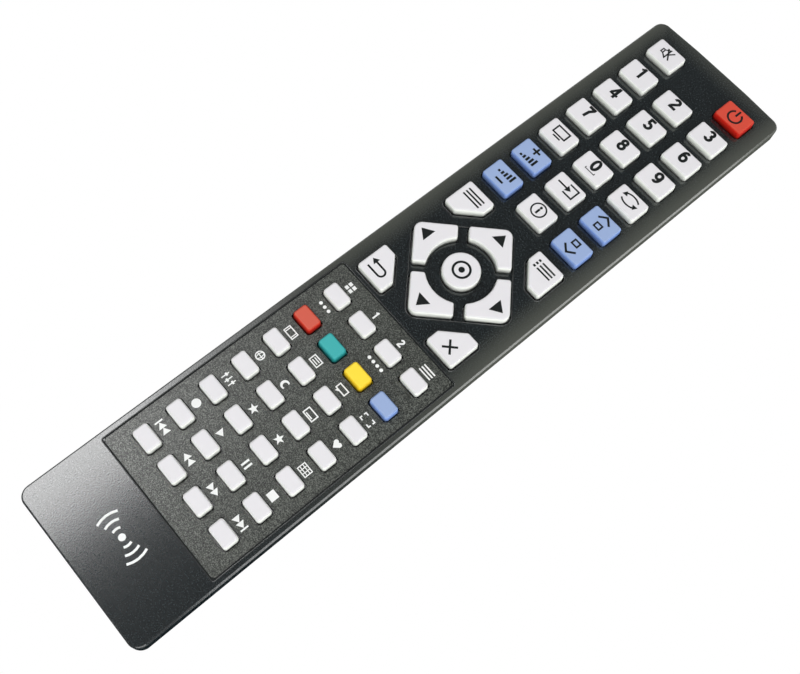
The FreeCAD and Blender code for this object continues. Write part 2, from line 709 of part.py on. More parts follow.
def add_keys():
    large = []
    for name, side in FUNCTION_KEYS:
        large.append(number_key(name, f"{side} * number_pitch_x", "function_row"))
    for row, names in enumerate(NUMBER_ROWS):
        for column, name in enumerate(names):
            x = f"{column - 1} * number_pitch_x"
            large.append(number_key(name, x, f"first_number_row - {row} * number_pitch_y"))
    large += [corner_key(*key) for key in CORNER_KEYS]
    large += [arrow_key(*key) for key in ARROW_KEYS]
    large.append(ok_key())
    pieces = list(large)
    small = []
    for row, names in enumerate(MENU_ROWS):
        share = MENU_COLUMNS // len(names)
        for place, name in enumerate(names):
            columns = range(place * share, (place + 1) * share)
            label = name if share == 1 else name + "_{}"
            together = [menu_key(label.format(column), column, row) for column in columns]
            small += together
            pieces.append(together[0] if share == 1 else (name, together))
    document.recompute()
    bevel_caps(large, "number_key_rise", "key_edge")
    bevel_caps(small, "menu_key_rise", "small_key_edge")
    return [group(*piece) if isinstance(piece, tuple) else piece for piece in pieces]


# The upper shell


def key_holes(body, level, depth, grow="key_clearance"):
    """The holes for the caps, cut down from a level."""
    first = sketch_on(body, "number_holes", level, "-number_pitch_x", "last_number_row")
    number_outline(first, grow)
    cut = extrude(body, first, depth, cut=True, downward=True)
    grid(body, cut, first, 3, "2 * number_pitch_x", 6, "number_rows_length")
    pair = sketch_on(body, "function_holes", level, "-number_pitch_x", "function_row")
    number_outline(pair, grow)
    cut = extrude(body, pair, depth, cut=True, downward=True)
    grid(body, cut, pair, 2, "2 * number_pitch_x")
    arrow = sketch_on(body, "arrow_holes", level, y="pad_centre")
    arrow_outline(arrow, grow)
    cut = extrude(body, arrow, depth, cut=True, downward=True)
    ring(body, cut, arrow, len(ARROW_KEYS))
    middle = sketch_on(body, "ok_hole", level, y="pad_centre")
    circle(middle, f"ok_radius + {grow}")
    extrude(body, middle, depth, cut=True, downward=True)
    for name, side, end in CORNER_KEYS:
        hole = sketch_on(body, name + "_hole", level, f"{side} * number_pitch_x",
                         f"pad_centre + {end} * corner_key_pitch / 2")
        corner_outline(hole, side, end, grow)
        extrude(body, hole, depth, cut=True, downward=True)


def menu_holes(body, level, depth, draw):
    """One hole for each small key."""
    first = sketch_on(body, "menu_holes", level, "-menu_columns_width / 2", "last_menu_row")
    draw(first)
    cut = extrude(body, first, depth, cut=True, downward=True)
    grid(body, cut, first, MENU_COLUMNS, "menu_columns_width", len(MENU_ROWS), "menu_rows_length")


def pad_recesses(body):
    """The shallow recess that outlines the arrow pad and the keys beside it."""
    square = sketch_on(body, "pad_recess", "case_top", y="pad_centre")
    rounded_outline(square, pad_corners("pad_recess_margin"), "arrow_tip_radius + pad_recess_margin")
    extrude(body, square, "pad_recess", cut=True, downward=True)
    for name, side, end in CORNER_KEYS:
        recess = sketch_on(body, name + "_recess", "case_top", f"{side} * number_pitch_x",
                           f"pad_centre + {end} * corner_key_pitch / 2")
        corner_outline(recess, side, end, "pad_recess_margin")
        extrude(body, recess, "pad_recess", cut=True, downward=True)


def locating_posts(body):
    """Posts from the roof through the mat and the board."""
    for name, x, y in POSTS:
        plate(body, name + "_post", "underside", "underside - board_bottom + post_reach",
              box_corners("post_width", "post_width"), downward=True, x=x, y=y)


def screw_boss(body):
    """The boss that takes the case screw, with its pilot hole."""
    plate(body, "boss", "underside", "underside - column_top - shell_fit",
          box_corners("boss_width", "boss_width"), downward=True, y="boss_y")
    pilot = sketch_on(body, "pilot", "screw_tip + 1", y="boss_y")
    circle(pilot, "screw_radius + thread_clearance")
    extrude(body, pilot, "screw_grip + 1", cut=True, downward=True)


def add_front_shell():
    body = new_body("front_shell")
    outline = sketch_on(body, "outline", "seam")
    rounded_outline(outline, case_corners(), "case_radius")
    extrude(body, outline, "front_depth")
    document.recompute()
    bevel(body, edges_at(body.Tip, "case_top"), "rim_bevel")
    cavity = sketch_on(body, "cavity", "underside")
    straight_outline(cavity, case_corners("wall_thickness"))
    extrude(body, cavity, f"underside - seam + {BEYOND}", cut=True, downward=True)
    panel = sketch_on(body, "panel", "case_top", y="panel_centre")
    rounded_outline(panel, box_corners("panel_width", "panel_length", "shell_fit"), "panel_radius + shell_fit")
    extrude(body, panel, "overlay_thickness + overlay_depth", cut=True, downward=True)
    pad_recesses(body)
    key_holes(body, "case_top", f"top_thickness + {BEYOND}")

    def draw_hole(sketch):
        straight_outline(sketch, box_corners("menu_key_width", "menu_key_length", "key_clearance"))

    menu_holes(body, "case_top", f"top_thickness + {BEYOND}", draw_hole)
    locating_posts(body)
    screw_boss(body)
    return body


def add_overlay():
    """The printed plate over the small keys, glued into its recess."""
    body = new_body("legend_overlay")
    outline = sketch_on(body, "outline", "case_top - overlay_depth - overlay_thickness", y="panel_centre")
    rounded_outline(outline, box_corners("panel_width", "panel_length"), "panel_radius")
    extrude(body, outline, "overlay_thickness")

    def draw_hole(sketch):
        menu_outline(sketch, "key_clearance")

    menu_holes(body, "case_top", "overlay_thickness + overlay_depth + " + BEYOND, draw_hole)
    return body


# The lower shell and what it holds


def loft(body, name, levels, draw, cut=False):
    """A solid or a hollow through outlines of the case: level and inset of each."""
    sketches = []
    for number, (level, inset) in enumerate(levels):
        sketch = sketch_on(body, f"{name}_{number}", level)
        draw(sketch, case_corners(inset))
        sketches.append(sketch)
    kind = "SubtractiveLoft" if cut else "AdditiveLoft"
    feature = body.newObject("PartDesign::" + kind, f"{body.Name}_{name}")
    feature.Profile = sketches[0]
    feature.Sections = sketches[1:]
    feature.Ruled = True
    return feature


def shell_tub(body):
    """The tub: its walls draw in towards the floor, with a bevel round the foot and square inner corners."""

    def draw_outside(sketch, corners):
        rounded_outline(sketch, corners, "case_radius")

    loft(body, "tub", [
        ("0", "rear_inset + foot_bevel"),
        ("foot_bevel", "rear_inset - wall_slope * foot_bevel"),
        ("seam", "0"),
    ], draw_outside)
    loft(body, "hollow", [
        ("door_floor", "rear_inset - wall_slope * door_floor + wall_thickness"),
        ("seam - tongue_root", "wall_thickness + wall_slope * tongue_root"),
    ], straight_outline, cut=True)
    ledge = sketch_on(body, "ledge", "seam - tongue_root")
    straight_outline(ledge, case_corners("wall_thickness"))
    extrude(body, ledge, f"tongue_root + {BEYOND}", cut=True)
    tongue = sketch_on(body, "tongue", "seam - 2 * tongue_root")
    outer = "wall_thickness + shell_fit"
    straight_outline(tongue, case_corners(outer))
    straight_outline(tongue, case_corners(f"{outer} + tongue_thickness"))
    extrude(body, tongue, "tongue_height + 2 * tongue_root")


def thin_floor(body):
    """Takes the floor down to its usual thickness where no door runs under it."""
    corners = between("(rear_inset + wall_thickness - half_width)", "door_high_end + door_lap",
                      "(half_width - rear_inset - wall_thickness)",
                      "half_length - rear_inset - wall_thickness - end_bow")
    plate(body, "floor_relief", "door_floor", "door_floor - floor_thickness", corners, downward=True, cut=True)


def board_ribs(body):
    """Ribs that carry the board."""
    half = "(half_width - rear_inset - tongue_thickness)"
    corners = box_corners(f"2 * {half}", "rib_thickness")
    rib, sketch = plate(body, "rib", "floor_thickness", "board_bottom - board_gap - floor_thickness", corners,
                        y="half_length - rib_margin - 2 * rib_pitch")
    pattern = body.newObject("PartDesign::LinearPattern", "rear_shell_ribs")
    pattern.Originals = [rib]
    pattern.Direction = (sketch, ["V_Axis"])
    bind(pattern, "Length", "2 * rib_pitch")
    pattern.Occurrences = 3
    body.Tip = pattern


def cell_bay(body):
    """The walls and the roof round the cells, open towards the door."""
    plate(body, "bay_block", "door_roof", "bay_top + bay_roof - door_roof",
          box_corners("bay_width", "bay_length", "bay_wall"), y="bay_centre")
    plate(body, "bay_hollow", "bay_top", "bay_top", box_corners("bay_width", "bay_length"),
          downward=True, cut=True, y="bay_centre")
    for name, side in (("positive", -1), ("negative", 1)):
        slot = between("-(tab_width / 2 + shell_fit)", "-(contact_gap + contact_metal + shell_fit)",
                       "(tab_width / 2 + shell_fit)", "0")
        plate(body, name + "_tab_slot", f"bay_top + bay_roof + {BEYOND}", f"bay_roof + {BEYOND}", slot,
              downward=True, cut=True, x=f"{side} * cell_x", y="bay_high_end")


def door_channel(body):
    """The recess that the door fills, open at the plain end, and the grooves for its side tongues."""
    side = "(door_half_width + door_gap)"
    plate(body, "door_recess", "door_roof", "door_roof",
          between(f"-{side}", f"-half_length - {BEYOND}", side, "door_high_end + door_gap"), downward=True, cut=True)
    groove = "(door_half_width + rail_width + door_gap)"
    plate(body, "door_grooves", "door_roof", "rail_thickness + 2 * door_gap",
          between(f"-{groove}", f"-half_length - {BEYOND}", groove, "door_high_end + door_gap"),
          downward=True, cut=True)


def screw_column(body):
    plate(body, "column", "door_roof", "column_top - door_roof",
          box_corners("column_width", "column_width"), y="boss_y")
    bore = sketch_on(body, "bore", f"column_top + {BEYOND}", y="boss_y")
    circle(bore, "screw_radius + screw_clearance")
    extrude(body, bore, f"column_top + {BEYOND} - door_roof", cut=True, downward=True)
    head = sketch_on(body, "head_bore", "screw_seat", y="boss_y")
    circle(head, "screw_head_radius + screw_clearance")
    extrude(body, head, "screw_seat", cut=True, downward=True)


def window_opening(body):
    opening = sketch_on(body, "window_opening", plane="YZ_Plane")
    straight_outline(opening, between("half_length - rear_inset - wall_thickness - 2", "window_bottom - shell_fit",
                                      f"half_length + {BEYOND}", "window_top + shell_fit"))
    extrude(body, opening, "window_width + 2 * shell_fit", both_ways=True, cut=True)


def add_rear_shell():
    body = new_body("rear_shell")
    shell_tub(body)
    thin_floor(body)
    board_ribs(body)
    cell_bay(body)
    screw_column(body)
    door_channel(body)
    window_opening(body)
    return body


def add_battery_door():
    """The door: a plate with a tongue along each side and a thumb grip across its outside."""
    body = new_body("battery_door")
    plate(body, "leaf", "0", "door_thickness",
          between("-door_half_width", "door_low_end", "door_half_width", "door_high_end"))
    wide = "(door_half_width + rail_width)"
    plate(body, "tongues", "door_thickness", "rail_thickness",
          between(f"-{wide}", "door_low_end + door_lap", wide, "door_high_end"), downward=True)
    corners = between("-grip_width / 2", "-grip_pitch / 4", "grip_width / 2", "grip_pitch / 4")
    groove, sketch = plate(body, "grip", "grip_depth", "grip_depth", corners, downward=True, cut=True,
                           y="door_low_end + grip_margin")
    pattern = body.newObject("PartDesign::LinearPattern", "battery_door_grip_grooves")
    pattern.Originals = [groove]
    pattern.Direction = (sketch, ["V_Axis"])
    bind(pattern, "Length", "5 * grip_pitch")
    pattern.Occurrences = 6
    body.Tip = pattern
    return body


def add_window():
    """The dark window: its face follows the end wall and its lip lies behind that wall."""
    body = new_body("ir_window")

    def face(inset, z):
        return f"window_outside + wall_slope * ({z}) - ({inset})"

    def slab(name, outside, inside, low, high, width):
        sketch = sketch_on(body, name, plane="YZ_Plane")
        straight_outline(sketch, [(face(inside, low), low), (face(outside, low), low),
                                  (face(outside, high), high), (face(inside, high), high)])
        extrude(body, sketch, width, both_ways=True)

    back = "wall_thickness + window_gap + window_lip"
    slab("pane", "0", back, "window_bottom", "window_top", "window_width")
    slab("lip", "wall_thickness + window_gap", back, "window_bottom - window_lip",
         "seam - 2 * tongue_root - window_gap", "window_width + 2 * window_lip")
    return body


# The mat and the board


def add_mat():
    """The rubber mat: a sheet with an opening for the foot of every key."""
    body = new_body("keypad_mat")
    plate(body, "sheet", "board_top", "mat_thickness",
          between("-board_half_width", "board_low_end", "board_half_width", "board_high_end"))
    depth = "mat_thickness + " + BEYOND

    def large(sketch, y="0"):
        x_reach = "(plunger_width / 2 + plunger_clearance)"
        y_reach = "(plunger_length / 2 + plunger_clearance)"
        straight_outline(sketch, between(f"-{x_reach}", f"{y} - {y_reach}", x_reach, f"{y} + {y_reach}"))

    numbers = sketch_on(body, "number_feet", "mat_top", "-number_pitch_x", "last_number_row")
    large(numbers)
    cut = extrude(body, numbers, depth, cut=True, downward=True)
    grid(body, cut, numbers, 3, "2 * number_pitch_x", 6, "number_rows_length")
    pair = sketch_on(body, "function_feet", "mat_top", "-number_pitch_x", "function_row")
    large(pair)
    cut = extrude(body, pair, depth, cut=True, downward=True)
    grid(body, cut, pair, 2, "2 * number_pitch_x")
    arrows = sketch_on(body, "arrow_feet", "mat_top", y="pad_centre")
    large(arrows, ARROW_FOOT_Y)
    cut = extrude(body, arrows, depth, cut=True, downward=True)
    ring(body, cut, arrows, len(ARROW_KEYS))
    middle = sketch_on(body, "ok_foot", "mat_top", y="pad_centre")
    large(middle)
    extrude(body, middle, depth, cut=True, downward=True)
    corners = sketch_on(body, "corner_feet", "mat_top", "-number_pitch_x", "pad_centre - corner_key_pitch / 2")
    large(corners)
    cut = extrude(body, corners, depth, cut=True, downward=True)
    grid(body, cut, corners, 2, "2 * number_pitch_x", 2, "corner_key_pitch")

    def small(sketch):
        straight_outline(sketch, box_corners(*SMALL_FOOT, "plunger_clearance"))

    menu_holes(body, "mat_top", depth, small)
    post_holes(body, "mat_top", depth)
    return body


def post_holes(body, level, depth):
    for name, x, y in POSTS:
        plate(body, name + "_post_hole", level, depth, box_corners("post_width", "post_width", "post_clearance"),
              downward=True, cut=True, x=x, y=y)


def add_board():
    body = new_body("circuit_board")
    plate(body, "laminate", "board_bottom", "board_thickness",
          between("-board_half_width", "board_low_end", "board_half_width", "board_high_end"))
    post_holes(body, "board_top", "board_thickness + " + BEYOND)
    return body


def block(name, corners, low, height, x="0", y="0"):
    body = new_body(name)
    plate(body, "block", low, height, corners, x=x, y=y)
    return body


def add_chip():
    """The controller, soldered under the board between two ribs."""
    return block("controller_chip", box_corners("chip_width", "chip_length"), "board_bottom - chip_height",
                 "chip_height", y="half_length - rib_margin - rib_pitch / 2")


def add_capacitor():
    """The capacitor lies under the board between the other two ribs."""
    body = new_body("reservoir_capacitor")
    can = sketch_on(body, "can", plane="YZ_Plane", x="half_length - rib_margin - 1.5 * rib_pitch",
                    y="board_bottom - capacitor_radius - contact_gap")
    circle(can, "capacitor_radius")
    extrude(body, can, "capacitor_length", both_ways=True)
    return body


def add_emitter():
    """The infrared diode behind the window, with its two wires bent up to the board."""
    body = new_body("ir_emitter")
    for name, radius, start, length in (("lens", "emitter_radius", "emitter_back", "emitter_length"),
                                        ("collar", "emitter_radius + emitter_collar", "emitter_back", "1")):
        sketch = sketch_on(body, name, f"-({start})", "0", "emitter_axis", plane="XZ_Plane")
        circle(sketch, radius)
        extrude(body, sketch, length, downward=True)
    for name, side in (("left", -1), ("right", 1)):
        wire = sketch_on(body, name + "_wire", f"{side} * lead_pitch / 2", plane="YZ_Plane")
        low = "emitter_axis - lead_thickness / 2"
        high = "emitter_axis + lead_thickness / 2"
        straight_outline(wire, [
            ("emitter_back + 0.5", low),
            ("emitter_back + 0.5", high),
            ("emitter_back - 1.5", high),
            ("emitter_back - 1.5", "board_bottom"),
            ("emitter_back - 1.5 - lead_thickness", "board_bottom"),
            ("emitter_back - 1.5 - lead_thickness", low),
        ])
        extrude(body, wire, "lead_thickness", both_ways=True)
    return body


# Cells, contacts and the screw


def add_cell(side):
    """One cell: its cap points to the infrared end on the left and to the plain end on the right."""
    body = new_body("battery_cell_left" if side < 0 else "battery_cell_right")
    cap_end = "bay_high_end - contact_space" if side < 0 else "bay_low_end + contact_space"
    toward_cap = side < 0
    can = sketch_on(body, "can", f"-({cap_end} + {side} * cell_cap_height)", f"{side} * cell_x", "cell_axis",
                    plane="XZ_Plane")
    circle(can, "cell_diameter / 2")
    extrude(body, can, "cell_length - cell_cap_height", downward=not toward_cap)
    cap = sketch_on(body, "cap", f"-({cap_end} + {side} * (cell_cap_height + 1))", f"{side} * cell_x", "cell_axis",
                    plane="XZ_Plane")
    circle(cap, "cell_cap_radius")
    extrude(body, cap, "cell_cap_height + 1", downward=toward_cap)
    return body


def add_contact(name, plates, leaves, wall, inward):
    """Sheet-metal contacts against an end wall of the bay, each with a bent leaf that meets a cell."""
    body = new_body(name)

    def along(distance):
        return f"{wall} + {inward} * ({distance})"

    def strip(label, x, width, corners):
        sketch = sketch_on(body, label, x, plane="YZ_Plane")
        straight_outline(sketch, corners)
        extrude(body, sketch, width, both_ways=True)

    back = "contact_gap"
    front = "(contact_gap + contact_metal)"
    crest = "(contact_space - contact_gap)"
    foot = "cell_axis - contact_half_height"
    for number, (x, width, top) in enumerate(plates):
        corners = [(along(back), foot), (along(front), foot), (along(front), top), (along(back), top)]
        strip(f"plate_{number}", x, width, corners)
    for number, x in enumerate(leaves):
        strip(f"leaf_{number}", x, "leaf_width", [
            (along(back), foot),
            (along(crest), "cell_axis - leaf_crest / 2"),
            (along(crest), "cell_axis + leaf_crest / 2"),
            (along(front), "cell_axis + contact_half_height / 2"),
            (along(front), "cell_axis + contact_half_height / 2 - contact_metal"),
            (along(f"{crest} - contact_metal"), "cell_axis + leaf_crest / 4"),
            (along(f"{crest} - contact_metal"), "cell_axis - leaf_crest / 4"),
            (along(front), f"{foot} + 2 * contact_metal"),
        ])
    return body


def add_contacts():
    plate_top = "cell_axis + contact_half_height"
    bridge = add_contact("bridge_contact", [("0", "2 * cell_x + contact_width", plate_top)],
                         ["-cell_x", "cell_x"], "bay_low_end", 1)
    ends = []
    for name, side in (("positive_contact", -1), ("negative_contact", 1)):
        x = f"{side} * cell_x"
        plates = [(x, "contact_width", plate_top), (x, "tab_width", "board_bottom")]
        ends.append(add_contact(name, plates, [x], "bay_high_end", -1))
    return [bridge] + ends


def add_screw():
    body = new_body("case_screw")
    head = sketch_on(body, "head", "screw_seat", y="boss_y")
    circle(head, "screw_head_radius")
    extrude(body, head, "screw_head_height", downward=True)
    shank = sketch_on(body, "shank", "screw_seat", y="boss_y")
    circle(shank, "screw_radius")
    extrude(body, shank, "screw_tip - screw_seat")
    return body


def check(pieces):
    """Stops if a feature failed or a piece is not a sound solid."""
    for feature in document.Objects:
        if {"Invalid", "Error"} & set(feature.State):
            raise RuntimeError(f"{feature.Name} failed: {feature.State}")
    for piece in pieces:
        if piece.Shape.isNull() or not piece.Shape.isValid() or not piece.Shape.Solids:
            raise RuntimeError(f"{piece.Label} has no sound solid")


def write(pieces):
    os.makedirs("parts", exist_ok=True)
    for piece in pieces:
        piece.Shape.exportStep(f"parts/{piece.Label}.step")


def main():
    fill_sheet()
    pieces = [add_front_shell(), add_overlay(), add_rear_shell(), add_battery_door(), add_window()]
    pieces += [add_mat(), add_board(), add_chip(), add_capacitor(), add_emitter()]
    pieces += add_contacts()
    pieces.append(group("battery_cells", [add_cell(-1), add_cell(1)]))
    pieces.append(add_screw())
    pieces += add_keys()
    document.recompute()
    check(pieces)
    write(pieces)
    print(len(pieces), "nodes,", sum(len(piece.Shape.Solids) for piece in pieces), "solids, case",
          f"{2 * layout.half_width:.2f} x {2 * layout.half_length:.2f} x {layout.case_top:.2f}")


main()
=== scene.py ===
import math

import bmesh
import bpy
from mathutils import Matrix, Vector


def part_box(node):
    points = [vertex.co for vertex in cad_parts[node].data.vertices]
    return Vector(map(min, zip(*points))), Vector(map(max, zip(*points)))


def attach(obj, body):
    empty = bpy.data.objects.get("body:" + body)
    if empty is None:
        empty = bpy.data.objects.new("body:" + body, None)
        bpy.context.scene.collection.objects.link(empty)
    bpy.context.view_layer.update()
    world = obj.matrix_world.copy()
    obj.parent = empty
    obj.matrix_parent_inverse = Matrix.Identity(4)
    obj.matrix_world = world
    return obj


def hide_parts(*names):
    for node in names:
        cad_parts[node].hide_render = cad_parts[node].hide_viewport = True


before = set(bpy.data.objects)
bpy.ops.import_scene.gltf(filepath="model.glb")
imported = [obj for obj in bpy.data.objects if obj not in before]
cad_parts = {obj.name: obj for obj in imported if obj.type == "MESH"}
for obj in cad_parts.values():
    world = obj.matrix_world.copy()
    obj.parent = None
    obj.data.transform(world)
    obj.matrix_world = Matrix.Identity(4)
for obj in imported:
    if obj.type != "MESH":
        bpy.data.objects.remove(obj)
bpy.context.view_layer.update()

# The looks of a television remote control. Sizes are in millimetres until a mesh is made, and places
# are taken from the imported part. X points to its right, Y towards its infrared end and Z up.

MM = 0.001

# Keys, seen from above: size as (across, along)
NUMBER_SIZE = (9.8, 7.0)
MENU_SIZE = (6.8, 4.5)
CORNER_SIZE = (9.7, 9.7)
NUMBER_CORNER = 0.85
MENU_CORNER = 0.95
CORNER_CUT = 5.6
OK_RADIUS = 5.25
ARROW_REACH = 13.1
ARROW_HALF_GAP = 1.35
ARROW_HOLLOW = 9.3
ARROW_TIP = 2.3
ARROW_SHOULDER = 0.8
ARROW_HEEL = 0.72
ARROW_FOOT = 12.51
ARROW_SIGN = 14.15
CAP_DRAFT = 0.15
CAP_ROUND = 0.42
SMALL_CAP_ROUND = 0.5
CAP_EDGE = 0.1
CAP_DEPTH = 3.8
FLANGE_MARGIN = 0.9
FLANGE_HEIGHT = 0.8
FLANGE_GAP = 0.02
FOOT_SIZE = (3.2, 2.6)
FOOT_HEIGHT = 1.0
ROUND_STEPS = 5
ARC_STEP = math.radians(9)

# Ink lies just above what it is printed on, and each stroke of it a little above the last
INK_LIFT = 0.012
INK_STEP = 0.0004
DIGIT_LINE = 0.88
DIGIT_HEIGHT = 4.15
BAR_PITCH = 1.05
LEGEND_DIGIT = 0.55
LEGEND_RISE = 4.5
DOTS_RISE = 5.7
DOTS_ROW = 1
MARK_PLACE = (0.4, -97.3)

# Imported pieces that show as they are
SOFT_EDGE = 0.14
WELD_REACH = 0.002

# Lips round openings, and a dark line painted round the plate as the shade of its groove
LIP_REACH = 0.55
LIP_WIDTH = 0.24
LIP_HEIGHT = 0.10
LIP_STEPS = 6
PAINTED_GROOVE_WIDTH = 0.3
PLATE_CORNER = 0.3

# Camera: fitted to the outline and the keys in the photograph
CAMERA_PLACE = (65.87, -89.83, 258.46)
CAMERA_AIM = (3.45, -15.60, 20.0)
CAMERA_ROLL = 9.84
CAMERA_LENS = 46.08
SENSOR = 36.0

# The floor lies a hair below the case, so that the two never share a plane
FLOOR_LEVEL = -0.02
FLOOR_REACH = 4000
FLOOR_GREY = (0.7, 0.7, 0.7, 1)
FLOOR_CLEAR = 0.6

# The room: how bright it is beside the object and overhead, and the heights where that changes
ROOM_LOW = 0.42
ROOM_HIGH = 0.14
ROOM_SPAN = (0.4, 0.75)

# Left softbox: its light fades towards the infrared end in bands (low y, high y, share of full light)
SOFTBOX_X = -465
SOFTBOX_Z = 820
SOFTBOX_WIDTH = 400
SOFTBOX_POWER = 4.1
SOFTBOX_BANDS = [(-400, -25, 1.0), (-25, 15, 0.68), (15, 65, 0.41), (65, 115, 0.28), (115, 165, 0.12)]

# The other lights: name, place, aim, size, watts
SOFT_LIGHTS = [
    ("right_softbox", (760, -580, 620), (0, 0, 10), (1100, 1100), 13.4),
    ("far_softbox", (380, 640, 560), (0, 80, 10), (360, 360), 1.2),
    ("rim_strip", (640, 200, 115), (20, 0, 15), (620, 150), 1.3),
]

# Case: where a painted sheen turns its top paler, as spans from the middle to the sides, along Y at
# the infrared end and along Y from the plain end
SHEEN_SHIFT = 0.3
SHEEN_SIDE = (15.5, 25.0)
SHEEN_END = (103.0, 116.0)
SHEEN_ALONG = (-85.0, 10.0)
PAINTED_SHEEN_COLOUR = (0.075, 0.08, 0.068, 1)

# Materials: noise scales in features per metre, heights in metres
CLOUD_SCALE = 60.0
FINE_SCALE = 9000.0
SPECKLE_SCALE = 2700.0
GRAIN_SCALE = 4200.0
METAL_SCALE = 900.0
RELIEF_HEIGHT = 0.0001
NOISE_SPAN = (0.3, 0.7)

# The case is matt where it hardly faces up and shines in full where it faces up
MATT_SIDES = (0.35, 0.96)

# How far the surface of a key faces up where its colours for side, rounded edge and top apply; side
# and edge colours are painted light and shade
SIDE_STOP = 0.2
EDGE_STOP = 0.84
TOP_STOP = 0.995


# Outlines: lists of (point, outward normal), anticlockwise


def arc(centre, radius, start, end, hollow=False):
    """Points along an arc; hollow turns their normals towards its centre."""
    steps = max(2, round(abs(end - start) / ARC_STEP))
    points = []
    for i in range(steps + 1):
        angle = start + (end - start) * i / steps
        ray = Vector((math.cos(angle), math.sin(angle)))
        points.append((Vector(centre) + ray * radius, -ray if hollow else ray))
    return points


def corner(before, at, after, radius):
    """The rounded corner of an anticlockwise polygon."""
    into = (Vector(at) - Vector(before)).normalized()
    out = (Vector(after) - Vector(at)).normalized()
    turn = into.angle(out)
    start = Vector(at) - into * radius * math.tan(turn / 2)
    centre = start + Vector((-into.y, into.x)) * radius
    first = math.atan2(start.y - centre.y, start.x - centre.x)
    return arc(centre, radius, first, first + turn)


def polygon(corners, radius):
    points = []
    for i, at in enumerate(corners):
        points += corner(corners[i - 1], at, corners[(i + 1) % len(corners)], radius)
    return points


def rectangle(size, radius):
    x = size[0] / 2
    y = size[1] / 2
    return polygon([(-x, -y), (x, -y), (x, y), (-x, y)], radius)


def slanted(side, end):
    """A key beside the arrow pad: the corner that faces the pad is cut off."""
    x = CORNER_SIZE[0] / 2
    y = CORNER_SIZE[1] / 2
    corners = [
        (-side * (x - CORNER_CUT), -end * y),
        (side * x, -end * y),
        (side * x, end * y),
        (-side * x, end * y),
        (-side * x, -end * (y - CORNER_CUT)),
    ]
    if side * end < 0:
        corners.reverse()
    return polygon(corners, NUMBER_CORNER)


def disc(radius):
    return arc((0, 0), radius, 0, math.tau)[:-1]


def arrow():
    """The arrow key that points along Y."""
    along = Vector((1, 1)).normalized()
    across = Vector((-1, 1)).normalized()
    shoulder = along * ARROW_REACH + across * ARROW_HALF_GAP
    tip = Vector((0, ARROW_REACH * math.sqrt(2)))
    reach = ARROW_HOLLOW + ARROW_HEEL
    side = ARROW_HALF_GAP + ARROW_HEEL
    heel = along * math.sqrt(reach ** 2 - side ** 2) + across * side
    heel_angle = math.atan2(heel.y, heel.x)
    flank = -math.pi / 4
    right_heel = arc(heel, ARROW_HEEL, heel_angle - math.pi, flank)
    foot = heel - across * ARROW_HEEL
    left_shoulder = Vector((-shoulder.x, shoulder.y))
    left_foot = Vector((-foot.x, foot.y))
    left_heel = arc((-heel.x, heel.y), ARROW_HEEL, math.pi - flank, math.tau - heel_angle)
    hollow = arc((0, 0), ARROW_HOLLOW, math.pi - heel_angle, heel_angle, hollow=True)
    return (right_heel + corner(foot, shoulder, tip, ARROW_SHOULDER)
            + corner(shoulder, tip, left_shoulder, ARROW_TIP)
            + corner(tip, left_shoulder, left_foot, ARROW_SHOULDER) + left_heel + hollow[1:-1])


# Meshes


def new_object(name, mesh, material, smooth=True):
    piece = bpy.data.objects.new(name, mesh)
    bpy.context.scene.collection.objects.link(piece)
    mesh.materials.append(material)
    if smooth:
        mesh.shade_smooth()
    return piece


def mesh_from(name, build, solid=True):
    """A mesh made by a function that fills a bmesh in millimetres."""
    shape = bmesh.new()
    build(shape)
    bmesh.ops.scale(shape, vec=(MM, MM, MM), verts=shape.verts)
    if solid:
        bmesh.ops.recalc_face_normals(shape, faces=shape.faces)
    mesh = bpy.data.meshes.new(name)
    shape.to_mesh(mesh)
    shape.free()
    return mesh


def add_rings(shape, outline, levels, place):
    """A closed solid through copies of an outline, each drawn in by an inset and set at a height."""
    rings = []
    for inset, height in levels:
        rings.append([shape.verts.new(place @ Vector((*(point - normal * inset), height)))
                      for point, normal in outline])
    for lower, upper in zip(rings, rings[1:]):
        for i in range(len(outline)):
            j = (i + 1) % len(outline)
            shape.faces.new((lower[i], lower[j], upper[j], upper[i]))
    shape.faces.new(list(reversed(rings[0])))
    shape.faces.new(rings[-1])


def rounded_levels(bottom, top, draft, radius):
    """Insets and heights of a side with draft, a rounded edge and the start of a flat top."""
    levels = [(0.0, bottom), (draft, top - radius)]
    for i in range(1, ROUND_STEPS + 1):
        angle = math.pi / 2 * i / ROUND_STEPS
        levels.append((draft + radius * (1 - math.cos(angle)), top - radius * (1 - math.sin(angle))))
    levels.append((draft + radius + CAP_EDGE, top))
    return levels


def add_box(shape, size, low, high, place):
    corners = [(-1, -1), (1, -1), (1, 1), (-1, 1)]
    outline = [(Vector((x * size[0] / 2, y * size[1] / 2)), Vector((0, 0))) for x, y in corners]
    add_rings(shape, outline, [(0.0, low), (0.0, high)], place)


def add_key(shape, outline, top, radius, place, foot_y=0.0):
    """A moulded key: cap, flange under the roof of the case and foot over the board."""
    base = top - CAP_DEPTH
    add_rings(shape, outline, rounded_levels(base, top, CAP_DRAFT, radius), place)
    flange_bottom = base - FLANGE_HEIGHT
    flange = [(-FLANGE_MARGIN, flange_bottom), (-FLANGE_MARGIN, base - FLANGE_GAP)]
    add_rings(shape, outline, flange, place)
    foot_place = place @ Matrix.Translation((0, foot_y, 0))
    add_box(shape, FOOT_SIZE, flange_bottom - FOOT_HEIGHT, flange_bottom, foot_place)


# Ink: flat shapes in millimetres round the centre of what they mark


